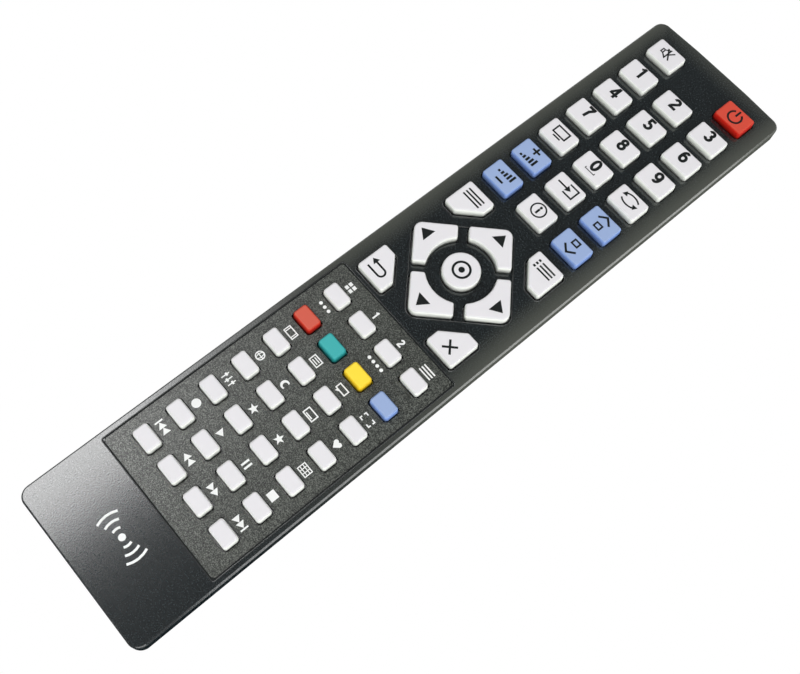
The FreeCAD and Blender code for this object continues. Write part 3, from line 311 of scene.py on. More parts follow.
def stroke(points, width):
    """A line of even width through the points, with square ends and mitred bends."""
    points = [Vector(point) for point in points]
    left = []
    right = []
    for i, point in enumerate(points):
        into = (point - points[i - 1]).normalized() if i else None
        out = (points[i + 1] - point).normalized() if i + 1 < len(points) else None
        direction = (into or out) if into is None or out is None else (into + out).normalized()
        side = Vector((-direction.y, direction.x))
        reach = width / 2
        if into is not None and out is not None:
            reach /= max(0.3, side.dot(Vector((-into.y, into.x))))
        left.append(point + side * reach)
        right.append(point - side * reach)
    return [[left[i], right[i], right[i + 1], left[i + 1]] for i in range(len(points) - 1)]


def bow(radius, width, start, end, centre=(0, 0), flat=1.0):
    """A curved line, with angles in degrees; flat squeezes it along Y."""
    steps = max(4, round(abs(end - start) / 12))
    points = []
    for i in range(steps + 1):
        angle = math.radians(start + (end - start) * i / steps)
        points.append((centre[0] + radius * math.cos(angle), centre[1] + radius * flat * math.sin(angle)))
    return stroke(points, width)


def blob(radius, centre=(0, 0)):
    return [[point + Vector(centre) for point, _ in disc(radius)]]


def slab(width, height, centre=(0, 0)):
    x, y = centre
    return [[(x - width / 2, y - height / 2), (x + width / 2, y - height / 2),
             (x + width / 2, y + height / 2), (x - width / 2, y + height / 2)]]


def frame_line(width, height, line, centre=(0, 0)):
    """The outline of a rectangle."""
    x, y = centre
    shapes = []
    for sign in (-1, 1):
        shapes += slab(width, line, (x, y + sign * (height - line) / 2))
        shapes += slab(line, height - 2 * line, (x + sign * (width - line) / 2, y))
    return shapes


def triangle(width, height, angle=0.0, centre=(0, 0)):
    """A filled triangle that points along X at angle 0."""
    turn = Matrix.Rotation(math.radians(angle), 2)
    corners = [(-height / 2, -width / 2), (height / 2, 0), (-height / 2, width / 2)]
    return [[turn @ Vector(point) + Vector(centre) for point in corners]]


def star(radius, centre=(0, 0)):
    points = []
    for i in range(10):
        reach = radius if i % 2 == 0 else radius * 0.42
        angle = math.radians(90 + 36 * i)
        points.append((centre[0] + reach * math.cos(angle), centre[1] + reach * math.sin(angle)))
    return [points]


def moved(shapes, x, y, turn=0.0):
    """The shapes turned by degrees and then moved."""
    rotation = Matrix.Rotation(math.radians(turn), 2)
    return [[rotation @ Vector(point) + Vector((x, y)) for point in shape] for shape in shapes]


def digit_six():
    reach = (DIGIT_HEIGHT - DIGIT_LINE) / 2
    bowl = bow(0.88, DIGIT_LINE, 0, 360, (0, 1.0 - reach), flat=1.14)
    return bowl + bow(0.95, DIGIT_LINE, 184, 55, (0.07, -0.2), flat=1.85)


def digit(number):
    """A bold upright digit, drawn with one broad line."""
    w = DIGIT_LINE
    half = DIGIT_HEIGHT / 2
    reach = half - w / 2
    upright = slab(w, DIGIT_HEIGHT)
    roof = slab(2.4, w, (0, reach))
    floor = slab(2.4, w, (0, -reach))
    shapes = {
        0: bow(0.88, w, 0, 360, flat=reach / 0.88),
        1: moved(upright, 0.25, 0) + stroke([(0.25, half - 0.3), (-0.75, half - 1.1)], w * 0.8),
        2: (bow(0.84, w, 172, -30, (0, reach - 0.84))
            + stroke([(0.73, 0.45), (-0.8, 0.35 - reach)], w) + floor),
        3: (bow(0.76, w, 165, -90, (-0.05, reach - 0.76))
            + bow(0.86, w, 90, -165, (-0.05, 0.86 - reach))),
        4: (moved(upright, 0.45, 0) + slab(2.7, w * 0.9, (0, -0.85))
            + stroke([(0.4, half - 0.2), (-1.05, -0.75)], w * 0.9)),
        5: (slab(1.8, w, (0.12, reach)) + slab(w, 1.8, (-0.52, reach - 0.6))
            + bow(0.93, w, 128, -158, (-0.06, 0.93 - reach))),
        6: digit_six(),
        7: roof + stroke([(0.8, reach - 0.2), (-0.1, 0.1), (-0.4, -half)], w),
        8: bow(0.74, w, 0, 360, (0, reach - 0.74)) + bow(0.88, w, 0, 360, (0, 0.88 - reach)),
        9: moved(digit_six(), 0, 0, 180),
    }
    return shapes[number]


def bars(width, line, pitch=BAR_PITCH):
    """Three flat bars, one above the other."""
    return slab(width, line, (0, -pitch)) + slab(width, line) + slab(width, line, (0, pitch))


def scaled(shapes, factor):
    return [[Vector(point) * factor for point in shape] for shape in shapes]


def power_sign():
    return bow(2.0, 0.6, 122, 418) + slab(0.6, 2.3, (0, 1.45))


def mute_sign():
    box = frame_line(1.1, 1.7, 0.4, (-1.45, 0))
    horn = stroke([(-1.0, 0.7), (0.3, 1.65), (0.3, -1.65), (-1.0, -0.7)], 0.42)
    return box + horn + stroke([(-0.7, 1.7), (1.8, -1.7)], 0.45) + stroke([(0.4, -0.35), (1.8, 1.7)], 0.45)


def swap_sign():
    upper = bow(2.4, 0.42, 30, 150, flat=0.62) + triangle(1.5, 1.3, 215, (-2.15, 0.5))
    lower = bow(2.4, 0.42, 210, 330, flat=0.62) + triangle(1.5, 1.3, 35, (2.15, -0.5))
    return upper + lower


def chevron(width, height, line):
    """An open arrowhead that points up, or down if its height is negative."""
    x = width / 2
    y = height / 2
    return stroke([(-x, -y), (0, y), (x, -y)], line)


def screen_sign():
    return frame_line(4.8, 3.0, 0.5, (0, 0.3)) + slab(2.6, 0.5, (0, -1.8))


def input_sign():
    box_line = stroke([(-0.2, 1.6), (3.0, 1.6), (3.0, -1.6), (-0.2, -1.6)], 0.5)
    return box_line + slab(3.2, 0.52, (-1.7, 0)) + triangle(2.1, 1.6, 0, (0.6, 0))


def info_sign():
    return bow(2.1, 0.45, 0, 360) + blob(0.4, (0, 1.0)) + slab(0.62, 1.7, (0, -0.4))


def wedge_sign():
    """Bars of growing height, as for loudness."""
    shapes = []
    for i in range(5):
        height = 0.7 + 0.42 * i
        shapes += slab(0.72, height, (-2.2 + 1.1 * i, height / 2 - 1.15))
    return shapes


def lines_sign():
    return bars(6.0, 0.5)


def list_sign():
    return moved(bars(0.75, 0.62), -2.6, 0) + moved(bars(4.6, 0.5), 0.7, 0)


def return_sign():
    hook = bow(1.15, 0.55, -90, 90, (1.5, -0.1)) + slab(3.3, 0.55, (-0.1, 1.05))
    return hook + slab(3.8, 0.55, (-0.4, -1.25)) + triangle(2.1, 1.6, 180, (-2.2, 1.05))


def space_sign():
    return stroke([(-1.6, 0.5), (-1.6, 0), (1.6, 0), (1.6, 0.5)], 0.26)


def cross_sign():
    return stroke([(-1.45, -1.45), (1.45, 1.45)], 0.62) + stroke([(-1.45, 1.45), (1.45, -1.45)], 0.62)


def centre_sign():
    return bow(2.3, 0.65, 0, 360) + blob(0.85)


def signal_sign():
    """A dot that sends out waves to both sides."""
    shapes = blob(0.9)
    for radius in (2.4, 4.4, 6.4):
        for side in (0, 180):
            shapes += bow(radius, 0.6, side - 26, side + 26)
    return shapes


# Signs for the plate, and where each of them stands, row by row


def dots_legend(count):
    shapes = []
    for i in range(count):
        shapes += blob(0.48, (1.5 * (i - (count - 1) / 2), 0))
    return shapes


def tiles_legend():
    shapes = []
    for x in (-0.7, 0.7):
        for y in (-0.65, 0.65):
            shapes += slab(1.05, 0.95, (x, y))
    return shapes


def film_legend():
    shapes = frame_line(3.6, 2.2, 0.32)
    for x in (-1.1, 1.1):
        shapes += slab(0.28, 2.2, (x, 0))
    return shapes


def page_legend():
    return frame_line(3.2, 2.3, 0.34) + slab(1.9, 0.3, (0, 0.36)) + slab(1.9, 0.3, (0, -0.36))


def speech_legend():
    return frame_line(3.4, 1.8, 0.34, (0, 0.3)) + [[(-1.0, -0.5), (0.0, -0.5), (-1.1, -1.25)]]


def corners_legend():
    shapes = []
    for x in (-1, 1):
        for y in (-1, 1):
            shapes += slab(1.1, 0.36, (x * 1.25, y * 0.95)) + slab(0.36, 0.6, (x * 1.62, y * 0.6))
    return shapes


def globe_legend():
    return bow(1.15, 0.3, 0, 360) + bow(0.52, 0.24, 0, 360, flat=2.1) + slab(2.2, 0.26)


def moon_legend():
    """A crescent: an arc and a smaller copy of it, drawn towards a point beside its centre."""
    angles = [math.radians(60 + 12 * i) for i in range(21)]
    outer = [Vector((math.cos(angle), math.sin(angle))) * 1.2 for angle in angles]
    focus = Vector((0.54, 0))
    inner = [focus.lerp(point, 0.6) for point in outer]
    return [[outer[i], outer[i + 1], inner[i + 1], inner[i]] for i in range(len(outer) - 1)]


def caption_legend():
    return frame_line(3.6, 2.3, 0.34) + slab(2.2, 0.34, (0, -0.5))


def heart_legend():
    lobes = blob(0.62, (-0.56, 0.42)) + blob(0.62, (0.56, 0.42))
    return lobes + [[(-1.14, 0.18), (0, -1.15), (1.14, 0.18), (0, 0.65)]]


def sliders_legend():
    shapes = []
    for x, y in ((-1.35, 0.4), (0, -0.4), (1.35, 0.25)):
        shapes += slab(0.32, 2.3, (x, 0)) + slab(0.95, 0.5, (x, y))
    return shapes


def table_legend():
    shapes = frame_line(3.2, 2.5, 0.28)
    for x in (-0.52, 0.52):
        shapes += slab(0.22, 2.5, (x, 0))
    for y in (-0.42, 0.42):
        shapes += slab(3.2, 0.22, (0, y))
    return shapes


def pause_legend():
    return slab(0.55, 2.3, (-0.58, 0)) + slab(0.55, 2.3, (0.58, 0))


def double_legend(angle):
    """Two triangles in a row."""
    return moved(triangle(2.2, 1.65, 0, (-0.82, 0)) + triangle(2.2, 1.65, 0, (0.82, 0)), 0, 0, angle)


def skip_legend(angle):
    return double_legend(angle) + moved(slab(0.42, 2.2, (1.92, 0)), 0, 0, angle)


LEGEND_ROWS = [
    [tiles_legend(), scaled(digit(1), LEGEND_DIGIT), scaled(digit(2), LEGEND_DIGIT), bars(4.0, 0.4, 0.85)],
    [dots_legend(3), [], dots_legend(4), []],
    [film_legend(), page_legend(), speech_legend(), corners_legend()],
    [globe_legend(), moon_legend(), caption_legend(), heart_legend()],
    [sliders_legend(), star(1.45), star(1.45), table_legend()],
    [blob(1.2), triangle(2.3, 1.8, 0), pause_legend(), slab(2.4, 2.2)],
    [skip_legend(180), double_legend(180), double_legend(0), skip_legend(0)],
]


# Materials


def new_material(name):
    material = bpy.data.materials.new(name)
    material.use_nodes = True
    nodes = material.node_tree.nodes
    return material, nodes, material.node_tree.links, nodes["Principled BSDF"]


def add_node(nodes, kind, **settings):
    node = nodes.new(kind)
    for name, setting in settings.items():
        if name in node.inputs:
            node.inputs[name].default_value = setting
        else:
            setattr(node, name, setting)
    return node


def noise(nodes, links, scale, detail=3.0):
    """Noise that stays fixed to the handset; scale is in features per metre."""
    place = nodes.get("Place") or add_node(nodes, "ShaderNodeTexCoord", name="Place")
    texture = add_node(nodes, "ShaderNodeTexNoise", Scale=scale, Detail=detail)
    links.new(place.outputs["Object"], texture.inputs["Vector"])
    return texture.outputs["Fac"]


def shades(nodes, links, source, dark, light, low=0.35, high=0.65):
    """A colour that goes from dark to light where the source goes from low to high."""
    ramp = add_node(nodes, "ShaderNodeValToRGB")
    ramp.color_ramp.elements[0].position = low
    ramp.color_ramp.elements[0].color = (*dark, 1)
    ramp.color_ramp.elements[1].position = high
    ramp.color_ramp.elements[1].color = (*light, 1)
    links.new(source, ramp.inputs["Fac"])
    return ramp.outputs["Color"]


def map_range(nodes, links, source, span, low=0.0, high=1.0, kind="LINEAR"):
    """Turns values in a span into values from low to high."""
    node = add_node(nodes, "ShaderNodeMapRange", interpolation_type=kind)
    node.inputs["From Min"].default_value = span[0]
    node.inputs["From Max"].default_value = span[1]
    node.inputs["To Min"].default_value = low
    node.inputs["To Max"].default_value = high
    links.new(source, node.inputs["Value"])
    return node.outputs["Result"]


def maths(nodes, links, operation, first, second=None):
    """A sum, product or the like; second is a number or a source."""
    node = add_node(nodes, "ShaderNodeMath", operation=operation)
    links.new(first, node.inputs[0])
    if isinstance(second, float):
        node.inputs[1].default_value = second
    elif second is not None:
        links.new(second, node.inputs[1])
    return node.outputs["Value"]


def parts_of(nodes, links, vector):
    """The X, Y and Z outputs of a vector."""
    node = add_node(nodes, "ShaderNodeSeparateXYZ")
    links.new(vector, node.inputs["Vector"])
    return node.outputs


def facing_up(nodes, links):
    """How far the surface faces up, from -1 to 1."""
    geometry = add_node(nodes, "ShaderNodeNewGeometry")
    return parts_of(nodes, links, geometry.outputs["Normal"])["Z"]


def set_surface(nodes, links, shader, source, low, high, relief, specular=None):
    """Roughness from low to high and relief, both from the same noise, and how strongly it shines."""
    links.new(map_range(nodes, links, source, NOISE_SPAN, low, high), shader.inputs["Roughness"])
    bump = add_node(nodes, "ShaderNodeBump", Strength=relief, Distance=RELIEF_HEIGHT)
    links.new(source, bump.inputs["Height"])
    links.new(bump.outputs["Normal"], shader.inputs["Normal"])
    if specular is not None:
        shader.inputs["Specular IOR Level"].default_value = specular


def painted_sheen_near_rim(nodes, links, centre_color):
    """Paints a sheen onto a colour: paler towards the long sides and the infrared end, where light would
    catch the top.
    """

    def smooth(source, span):
        return map_range(nodes, links, source, [end * MM for end in span], kind="SMOOTHSTEP")

    parts = parts_of(nodes, links, nodes["Place"].outputs["Object"])
    shifted = maths(nodes, links, "ADD", parts["X"], SHEEN_SHIFT * MM)
    across = maths(nodes, links, "ABSOLUTE", shifted)
    most = maths(nodes, links, "MAXIMUM", smooth(across, SHEEN_SIDE), smooth(parts["Y"], SHEEN_END))
    share = maths(nodes, links, "MULTIPLY", most, smooth(parts["Y"], SHEEN_ALONG))
    # the blend paints a sheen: a paler colour towards the long sides and the infrared end
    blend = add_node(nodes, "ShaderNodeMix", data_type="RGBA")
    links.new(share, blend.inputs["Factor"])
    links.new(centre_color, blend.inputs["A"])
    blend.inputs["B"].default_value = PAINTED_SHEEN_COLOUR
    return blend.outputs["Result"]


def satin_case(name, dark, light, rough, specular):
    """The case: a fine sparkle in the black, a painted sheen that makes the rim paler, and sides that are
    matt.
    """
    material, nodes, links, shader = new_material(name)
    speckle = noise(nodes, links, SPECKLE_SCALE, 2.0)
    black = shades(nodes, links, speckle, dark, light, 0.46, 0.70)
    # base colour: the speckled black with the painted sheen mixed in
    links.new(painted_sheen_near_rim(nodes, links, black), shader.inputs["Base Color"])
    set_surface(nodes, links, shader, speckle, rough + 0.05, rough - 0.05, 0.11)
    gloss = map_range(nodes, links, facing_up(nodes, links), MATT_SIDES, 0.0, specular)
    links.new(gloss, shader.inputs["Specular IOR Level"])
    return material


def plastic(name, color, rough, grain=FINE_SCALE, relief=0.02, variation=0.06, specular=0.5):
    """Moulded plastic: a little uneven in tone and gloss, with a fine grain."""
    material, nodes, links, shader = new_material(name)
    cloud = noise(nodes, links, CLOUD_SCALE)
    dark = [max(0.0, c * (1 - variation)) for c in color]
    light = [min(1.0, c * (1 + variation)) for c in color]
    links.new(shades(nodes, links, cloud, dark, light), shader.inputs["Base Color"])
    fine = noise(nodes, links, grain)
    set_surface(nodes, links, shader, fine, rough - 0.04, rough + 0.04, relief, specular)
    return material


def key_plastic_painted_shading(name, top_color, painted_edge_color, painted_side_color, rough):
    """A key with painted light and shade: its rounded edge and sides are lighter or darker than its top.
    """
    material, nodes, links, shader = new_material(name)
    # the ramp paints light and shade: edge and side colours set by how far the surface faces up
    painted_shading_tones = add_node(nodes, "ShaderNodeValToRGB")
    ramp = painted_shading_tones.color_ramp
    ramp.interpolation = "EASE"
    ramp.elements[0].position = SIDE_STOP
    ramp.elements[0].color = (*painted_side_color, 1)
    ramp.elements[1].position = TOP_STOP
    ramp.elements[1].color = (*top_color, 1)
    ramp.elements.new(EDGE_STOP).color = (*painted_edge_color, 1)
    links.new(facing_up(nodes, links), painted_shading_tones.inputs["Fac"])
    cloud = noise(nodes, links, CLOUD_SCALE)
    uneven = shades(nodes, links, cloud, (0.985, 0.985, 0.985), (1, 1, 1))
    blend = add_node(nodes, "ShaderNodeMix", data_type="RGBA", blend_type="MULTIPLY")
    blend.inputs["Factor"].default_value = 1.0
    links.new(painted_shading_tones.outputs["Color"], blend.inputs["A"])
    links.new(uneven, blend.inputs["B"])
    links.new(blend.outputs["Result"], shader.inputs["Base Color"])
    fine = noise(nodes, links, FINE_SCALE)
    set_surface(nodes, links, shader, fine, rough - 0.04, rough + 0.04, 0.02, 0.3)
    return material


def grained_plate(name, dark, light, rough, specular):
    """The plate round the small keys: a coarse grain with pale specks."""
    material, nodes, links, shader = new_material(name)
    grain = noise(nodes, links, GRAIN_SCALE, 2.0)
    links.new(shades(nodes, links, grain, dark, light, 0.42, 0.64), shader.inputs["Base Color"])
    set_surface(nodes, links, shader, grain, rough + 0.08, rough - 0.08, 0.28, specular)
    return material


def metal(name, color, rough):
    material, nodes, links, shader = new_material(name)
    cloud = noise(nodes, links, METAL_SCALE)
    dark = [c * 0.85 for c in color]
    links.new(shades(nodes, links, cloud, dark, color), shader.inputs["Base Color"])
    rough_cloud = map_range(nodes, links, cloud, NOISE_SPAN, rough - 0.06, rough + 0.06)
    links.new(rough_cloud, shader.inputs["Roughness"])
    shader.inputs["Metallic"].default_value = 1.0
    return material


case_top_black = satin_case("case_top_black", (0.0, 0.002, 0.003), (0.033, 0.042, 0.045), 0.15, 0.96)
case_black = plastic("case_black", (0.008, 0.010, 0.010), 0.5, relief=0.12, specular=0.3)
panel_grey = grained_plate("panel_grey", (0.001, 0.002, 0.001), (0.142, 0.152, 0.136), 0.27, 0.52)
ink_dark = plastic("ink_dark", (0.006, 0.008, 0.008), 0.6, variation=0.1, specular=0.2)
ink_white = plastic("ink_white", (0.80, 0.81, 0.80), 0.5, variation=0.03)
lip_black = plastic("lip_black", (0.02, 0.022, 0.022), 0.22, specular=0.9)
rubber_grey = plastic("rubber_grey", (0.35, 0.36, 0.36), 0.7, relief=0.1)
board_green = plastic("board_green", (0.012, 0.11, 0.035), 0.35, grain=1500.0, relief=0.1, variation=0.25)
chip_black = plastic("chip_black", (0.02, 0.02, 0.021), 0.55, relief=0.15)
can_blue = plastic("can_blue", (0.02, 0.035, 0.16), 0.3)
window_dark = plastic("window_dark", (0.012, 0.002, 0.006), 0.08, relief=0.0)
lens_clear = plastic("lens_clear", (0.10, 0.09, 0.16), 0.1, relief=0.0)
cell_jacket = plastic("cell_jacket", (0.06, 0.10, 0.13), 0.3)
contact_metal = metal("contact_metal", (0.72, 0.71, 0.68), 0.3)
screw_steel = metal("screw_steel", (0.50, 0.50, 0.50), 0.35)

# Keys: colours of the top, the edge and the sides, and roughness; edge and side colours are painted light
# and shade
KEY_TONES_WITH_PAINTED_SHADING = {
    "key_white": ((0.705, 0.695, 0.715), (0.63, 0.625, 0.63), (0.89, 0.92, 0.86), 0.6),
    "key_power_red": ((0.60, 0.064, 0.037), (0.47, 0.028, 0.008), (0.52, 0.010, 0.003), 0.55),
    "key_soft_blue": ((0.29, 0.385, 0.61), (0.215, 0.31, 0.54), (0.20, 0.32, 0.68), 0.55),
    "key_small_red": ((0.57, 0.095, 0.06), (0.48, 0.045, 0.02), (0.50, 0.014, 0.005), 0.55),
    "key_teal": ((0.043, 0.38, 0.38), (0.025, 0.29, 0.29), (0.012, 0.27, 0.27), 0.55),
    "key_yellow": ((0.88, 0.66, 0.043), (0.74, 0.50, 0.02), (0.84, 0.55, 0.008), 0.55),
}
key_materials = {name: key_plastic_painted_shading(name, *painted_shading_tones) for name, painted_shading_tones in KEY_TONES_WITH_PAINTED_SHADING.items()}

CAD_LOOKS = {
    "front_shell": case_top_black,
    "rear_shell": case_black,
    "battery_door": case_black,
    "legend_overlay": panel_grey,
    "ir_window": window_dark,
    "ir_emitter": lens_clear,
    "keypad_mat": rubber_grey,
    "circuit_board": board_green,
    "controller_chip": chip_black,
    "reservoir_capacitor": can_blue,
    "bridge_contact": contact_metal,
    "positive_contact": contact_metal,
    "negative_contact": contact_metal,
    "battery_cells": cell_jacket,
    "case_screw": screw_steel,
}


def dress_cad_nodes():
    """Gives each node that shows as it is its material, and the case, door and plate softened edges."""
    for name, material in CAD_LOOKS.items():
        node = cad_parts[name]
        node.data.materials.clear()
        node.data.materials.append(material)
        weld = node.modifiers.new("weld", "WELD")
        weld.merge_threshold = WELD_REACH * MM
        if name in ("front_shell", "rear_shell", "battery_door", "legend_overlay"):
            bevel = node.modifiers.new("edges", "BEVEL")
            bevel.width = SOFT_EDGE * MM
            bevel.segments = 2
            bevel.limit_method = "ANGLE"
            bevel.angle_limit = math.radians(35)
            bevel.harden_normals = True


# Places


def centre_of(node):
    low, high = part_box(node)
    return Vector(((low.x + high.x) / 2, (low.y + high.y) / 2)) / MM, high.z / MM


def key_place(centre, angle=0.0):
    return Matrix.Translation((*centre, 0)) @ Matrix.Rotation(math.radians(angle), 4, "Z")


def make_ink(name, body, shapes, centre, height, material):
    """A thin print on a key, on the plate or on the case."""

    def build(shape):
        for i, outline in enumerate(shapes):
            level = height + INK_LIFT + INK_STEP * i
            shape.faces.new([shape.verts.new((*(Vector(point) + centre), level)) for point in outline])
        for face in shape.faces:
            face.normal_update()
            if face.normal.z < 0:
                face.normal_flip()

    piece = new_object(name, mesh_from(name, build, solid=False), material, smooth=False)
    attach(piece, body)


# Raised lips round openings, and the painted shade of the groove round the plate


def add_lip(shape, outline, reach, place, height):
    """A low rounded ridge that follows an outline at a distance."""
    rings = []
    for share in range(LIP_STEPS + 1):
        angle = math.pi * share / LIP_STEPS
        out = reach - LIP_WIDTH / 2 * math.cos(angle)
        level = height + LIP_HEIGHT * math.sin(angle)
        rings.append([shape.verts.new(place @ Vector((*(point + normal * out), level)))
                      for point, normal in outline])
    for inner, outer in zip(rings, rings[1:]):
        for i in range(len(outline)):
            j = (i + 1) % len(outline)
            shape.faces.new((inner[i], inner[j], outer[j], outer[i]))


def lips():
    """The lips round the pad and the slanted keys, and round the plate beside a dark line painted as its
    groove's shade.
    """
    case_top = centre_of("front_shell")[1]
    middle = centre_of("legend_overlay")[0]
    low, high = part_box("legend_overlay")
    size = ((high.x - low.x) / MM, (high.y - low.y) / MM)

    def build(shape):
        reach = ARROW_REACH * math.sqrt(2)
        square = polygon([(0, -reach), (reach, 0), (0, reach), (-reach, 0)], ARROW_TIP)
        add_lip(shape, square, LIP_REACH, key_place(centre_of("key_ok")[0]), case_top)
        for node, (side, end, _) in CORNER_KEYS.items():
            add_lip(shape, slanted(side, end), LIP_REACH, key_place(centre_of(node)[0]), case_top)
        plate = rectangle(size, PLATE_CORNER)
        add_lip(shape, plate, PAINTED_GROOVE_WIDTH + LIP_WIDTH / 2, key_place(middle), case_top)

    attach(new_object("lips", mesh_from("lips", build), lip_black), "case")
    # a dark ink line painted on the case where the groove round the plate lies in shade
    painted_groove_shade = frame_line(size[0] + 2 * PAINTED_GROOVE_WIDTH, size[1] + 2 * PAINTED_GROOVE_WIDTH, PAINTED_GROOVE_WIDTH)
    make_ink("plate_groove_painted_shade", "case", painted_groove_shade, middle, case_top, ink_dark)


# Keys in place


def make_key(node, outline, places, radius=CAP_ROUND, foot_y=0.0):
    """One piece for a node: a moulded key at each of its places."""
    top = centre_of(node)[1]
    painted_shading_tones, slot = PAINT.get(node, WHITE)

    def build(shape):
        for place in places:
            add_key(shape, outline, top, radius, place, foot_y)

    piece = new_object("cap_" + node, mesh_from("cap_" + node, build), key_materials[painted_shading_tones])
    soft = piece.modifiers.new("soft", "WEIGHTED_NORMAL")
    soft.keep_sharp = True
    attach(piece, node)
    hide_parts(node)
    return top


# Signs of the keys that are as large as a number key
NUMBER_KEYS = {
    "key_mute": moved(mute_sign(), -0.2, 0.3),
    "key_power": moved(power_sign(), 0, -0.1),
    "key_tv": moved(screen_sign(), 0, 0.5),
    "key_0": moved(digit(0), 0, 0.95) + moved(space_sign(), 0, -1.7),
    "key_swap": moved(scaled(swap_sign(), 1.12), 0, 0.5),
    "key_volume_up": slab(2.7, 0.62, (0, 1.8)) + slab(0.62, 2.5, (0, 1.8)) + moved(wedge_sign(), 0, -1.2),
    "key_input": moved(input_sign(), 0, 0.4),
    "key_channel_up": moved(chevron(4.0, 1.7, 0.62), 0, 1.8) + frame_line(2.4, 2.0, 0.5, (0, -1.1)),
    "key_volume_down": moved(wedge_sign(), 0, 1.3) + slab(2.7, 0.62, (0, -1.6)),
    "key_info": moved(info_sign(), 0, 0.4),
    "key_channel_down": frame_line(2.4, 2.0, 0.5, (0, 1.3)) + moved(chevron(4.0, -1.7, 0.62), 0, -1.6),
}
for number in range(1, 10):
    NUMBER_KEYS[f"key_{number}"] = moved(digit(number), -0.05, 0.92)

# Keys at the corners of the pad: side, end and sign
CORNER_KEYS = {
    "key_menu": (-1, 1, moved(lines_sign(), -0.2, 1.6)),
    "key_guide": (1, 1, moved(list_sign(), 0.2, 1.6)),
    "key_back": (-1, -1, moved(return_sign(), -0.6, -1.5)),
    "key_exit": (1, -1, moved(cross_sign(), 0.6, -1.5)),
}

# Arrow keys: their turn in degrees
ARROW_KEYS = {"key_up": 0, "key_left": 90, "key_down": 180, "key_right": 270}

# Tones and material slot of the keys that are not white
PAINT = {
    "key_power": ("key_power_red", "key_power_red"),
    "key_volume_up": ("key_soft_blue", "key_soft_blue"),
    "key_volume_down": ("key_soft_blue", "key_soft_blue"),
    "key_channel_up": ("key_soft_blue", "key_soft_blue"),
    "key_channel_down": ("key_soft_blue", "key_soft_blue"),
    "key_red": ("key_small_red", "key_red"),
    "key_green": ("key_teal", "key_teal"),
    "key_yellow": ("key_yellow", "key_yellow"),
    "key_blue": ("key_soft_blue", "key_blue"),
}
WHITE = ("key_white", "key_white")


def number_keys():
    outline = rectangle(NUMBER_SIZE, NUMBER_CORNER)
    for node, ink in NUMBER_KEYS.items():
        centre = centre_of(node)[0]
        top = make_key(node, outline, [key_place(centre)])
        make_ink("ink_" + node, node, ink, centre, top, ink_dark)


def pad_keys():
    pad, top = centre_of("key_ok")
    make_key("key_ok", disc(OK_RADIUS), [key_place(pad)])
    make_ink("ink_key_ok", "key_ok", centre_sign(), pad, top, ink_dark)
    for node, angle in ARROW_KEYS.items():
        make_key(node, arrow(), [key_place(pad, angle)], foot_y=ARROW_FOOT)
        ink = moved(triangle(4.2, 3.1, 90, (0, ARROW_SIGN)), 0, 0, angle)
        make_ink("ink_" + node, node, ink, pad, top, ink_dark)
    for node, (side, end, ink) in CORNER_KEYS.items():
        centre = centre_of(node)[0]
        make_key(node, slanted(side, end), [key_place(centre)])
        make_ink("ink_" + node, node, ink, centre, top, ink_dark)


def menu_keys():
    """The small keys: coloured ones on their own, white ones in pairs side by side."""
    outline = rectangle(MENU_SIZE, MENU_CORNER)
    step = Vector((centre_of("key_green")[0].x - centre_of("key_red")[0].x, 0))
    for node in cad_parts:
        centre = centre_of(node)[0]
        if node in ("key_red", "key_green", "key_yellow", "key_blue"):
            make_key(node, outline, [key_place(centre)], SMALL_CAP_ROUND)
        elif node.startswith("keys_"):
            places = [key_place(centre - step / 2), key_place(centre + step / 2)]
            make_key(node, outline, places, SMALL_CAP_ROUND)


def legends():
    """White signs on the plate, above the small keys, and a sign at the plain end."""
    top = centre_of("legend_overlay")[1]
    first = centre_of("key_red")[0]
    last = centre_of("key_blue")[0]
    pitch_x = (last.x - first.x) / 3
    pitch_y = (first.y - centre_of("keys_previous_rewind")[0].y) / 5
    for row, signs in enumerate(LEGEND_ROWS):
        rise = DOTS_RISE if row == DOTS_ROW else LEGEND_RISE
        for column, sign in enumerate(signs):
            place = first + Vector((column * pitch_x, (DOTS_ROW - row) * pitch_y + rise))
            if sign:
                make_ink(f"legend_{row}_{column}", "case", sign, place, top, ink_white)
    case_top = centre_of("front_shell")[1]
    make_ink("signal_mark", "case", signal_sign(), Vector(MARK_PLACE), case_top, ink_white)


# Stage


def make_floor():
    """A pale floor: the camera sees it as pure white from above, and through it from below."""
    material = bpy.data.materials.new("floor_white")
    material.use_nodes = True
    nodes = material.node_tree.nodes
    links = material.node_tree.links
    nodes.clear()
    out = nodes.new("ShaderNodeOutputMaterial")
    mix = nodes.new("ShaderNodeMixShader")
    path = nodes.new("ShaderNodeLightPath")
    pale = add_node(nodes, "ShaderNodeBsdfDiffuse", Color=FLOOR_GREY)
    glow = add_node(nodes, "ShaderNodeEmission", Color=(1, 1, 1, 1), Strength=1.0)
    geometry = nodes.new("ShaderNodeNewGeometry")
    clear = nodes.new("ShaderNodeBsdfTransparent")
    thin = nodes.new("ShaderNodeMixShader")
    sided = nodes.new("ShaderNodeMixShader")
    thin.inputs["Fac"].default_value = FLOOR_CLEAR
    links.new(pale.outputs["BSDF"], thin.inputs[1])
    links.new(clear.outputs["BSDF"], thin.inputs[2])
    links.new(path.outputs["Is Camera Ray"], mix.inputs["Fac"])
    links.new(thin.outputs["Shader"], mix.inputs[1])
    links.new(glow.outputs["Emission"], mix.inputs[2])
    links.new(geometry.outputs["Backfacing"], sided.inputs["Fac"])
    links.new(mix.outputs["Shader"], sided.inputs[1])
    links.new(clear.outputs["BSDF"], sided.inputs[2])
    links.new(sided.outputs["Shader"], out.inputs["Surface"])

    def build(shape):
        reach = FLOOR_REACH
        corners = [(-reach, -reach), (reach, -reach), (reach, reach), (-reach, reach)]
        shape.faces.new([shape.verts.new((*point, FLOOR_LEVEL)) for point in corners])

    floor = new_object("floor", mesh_from("floor", build), material, smooth=False)


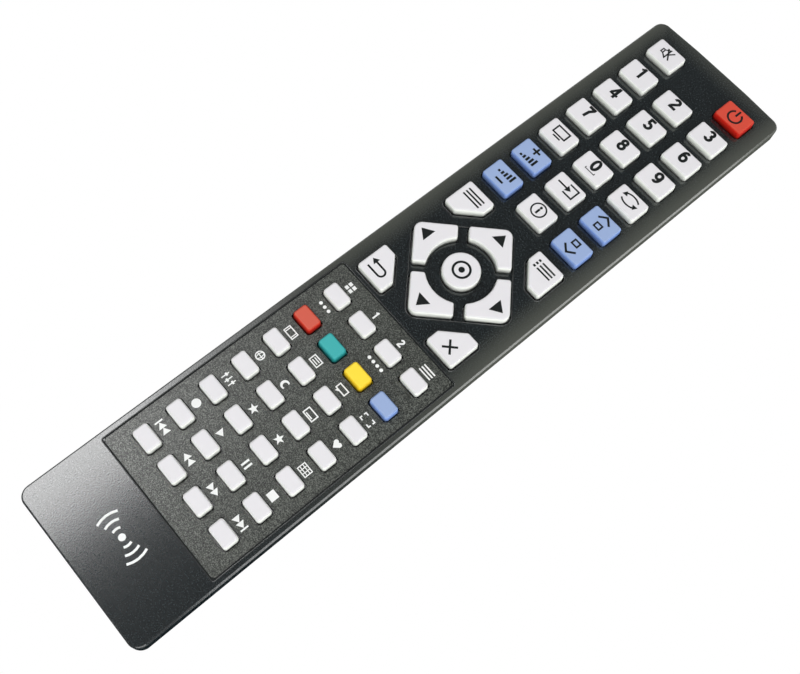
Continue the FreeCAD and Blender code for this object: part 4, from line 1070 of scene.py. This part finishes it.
def aimed(place, aim, roll=0.0):
    """A matrix that looks from place to aim, both in millimetres."""
    place = Vector(place) * MM
    aim = Vector(aim) * MM
    turn = (aim - place).to_track_quat("-Z", "Y").to_matrix().to_4x4()
    return Matrix.Translation(place) @ turn @ Matrix.Rotation(math.radians(roll), 4, "Z")


def make_camera():
    data = bpy.data.cameras.new("camera")
    data.sensor_fit = "HORIZONTAL"
    data.sensor_width = SENSOR
    data.lens = CAMERA_LENS
    data.clip_start = 0.01
    camera = bpy.data.objects.new("camera", data)
    camera.matrix_world = aimed(CAMERA_PLACE, CAMERA_AIM, CAMERA_ROLL)
    bpy.context.scene.collection.objects.link(camera)
    bpy.context.scene.camera = camera


def soft_light(name, place, aim, size, power):
    data = bpy.data.lights.new(name, "AREA")
    data.shape = "RECTANGLE"
    data.size = size[0] * MM
    data.size_y = size[1] * MM
    data.energy = power
    light = bpy.data.objects.new(name, data)
    light.matrix_world = aimed(place, aim)
    bpy.context.scene.collection.objects.link(light)


def make_lights():
    for number, (low, high, share) in enumerate(SOFTBOX_BANDS):
        place = (SOFTBOX_X, (low + high) / 2, SOFTBOX_Z)
        size = (SOFTBOX_WIDTH, high - low)
        power = SOFTBOX_POWER * share * (high - low) / SOFTBOX_WIDTH
        soft_light(f"left_softbox_{number}", place, (place[0], place[1] - 0.01, 0), size, power)
    for light in SOFT_LIGHTS:
        soft_light(*light)


def make_world():
    """A plain room: white to the camera, dimmer as a light and dimmest overhead."""
    world = bpy.data.worlds.new("studio")
    world.use_nodes = True
    nodes = world.node_tree.nodes
    links = world.node_tree.links
    place = add_node(nodes, "ShaderNodeTexCoord")
    height = parts_of(nodes, links, place.outputs["Generated"])["Z"]
    glow = map_range(nodes, links, height, ROOM_SPAN, ROOM_LOW, ROOM_HIGH, "SMOOTHSTEP")
    path = add_node(nodes, "ShaderNodeLightPath")
    seen = maths(nodes, links, "MAXIMUM", path.outputs["Is Camera Ray"], glow)
    background = nodes["Background"]
    background.inputs["Color"].default_value = (1, 1, 1, 1)
    links.new(seen, background.inputs["Strength"])
    bpy.context.scene.world = world


dress_cad_nodes()
number_keys()
pad_keys()
menu_keys()
legends()
lips()
make_floor()
make_camera()
make_world()
make_lights()
bpy.context.scene.view_settings.view_transform = "Standard"
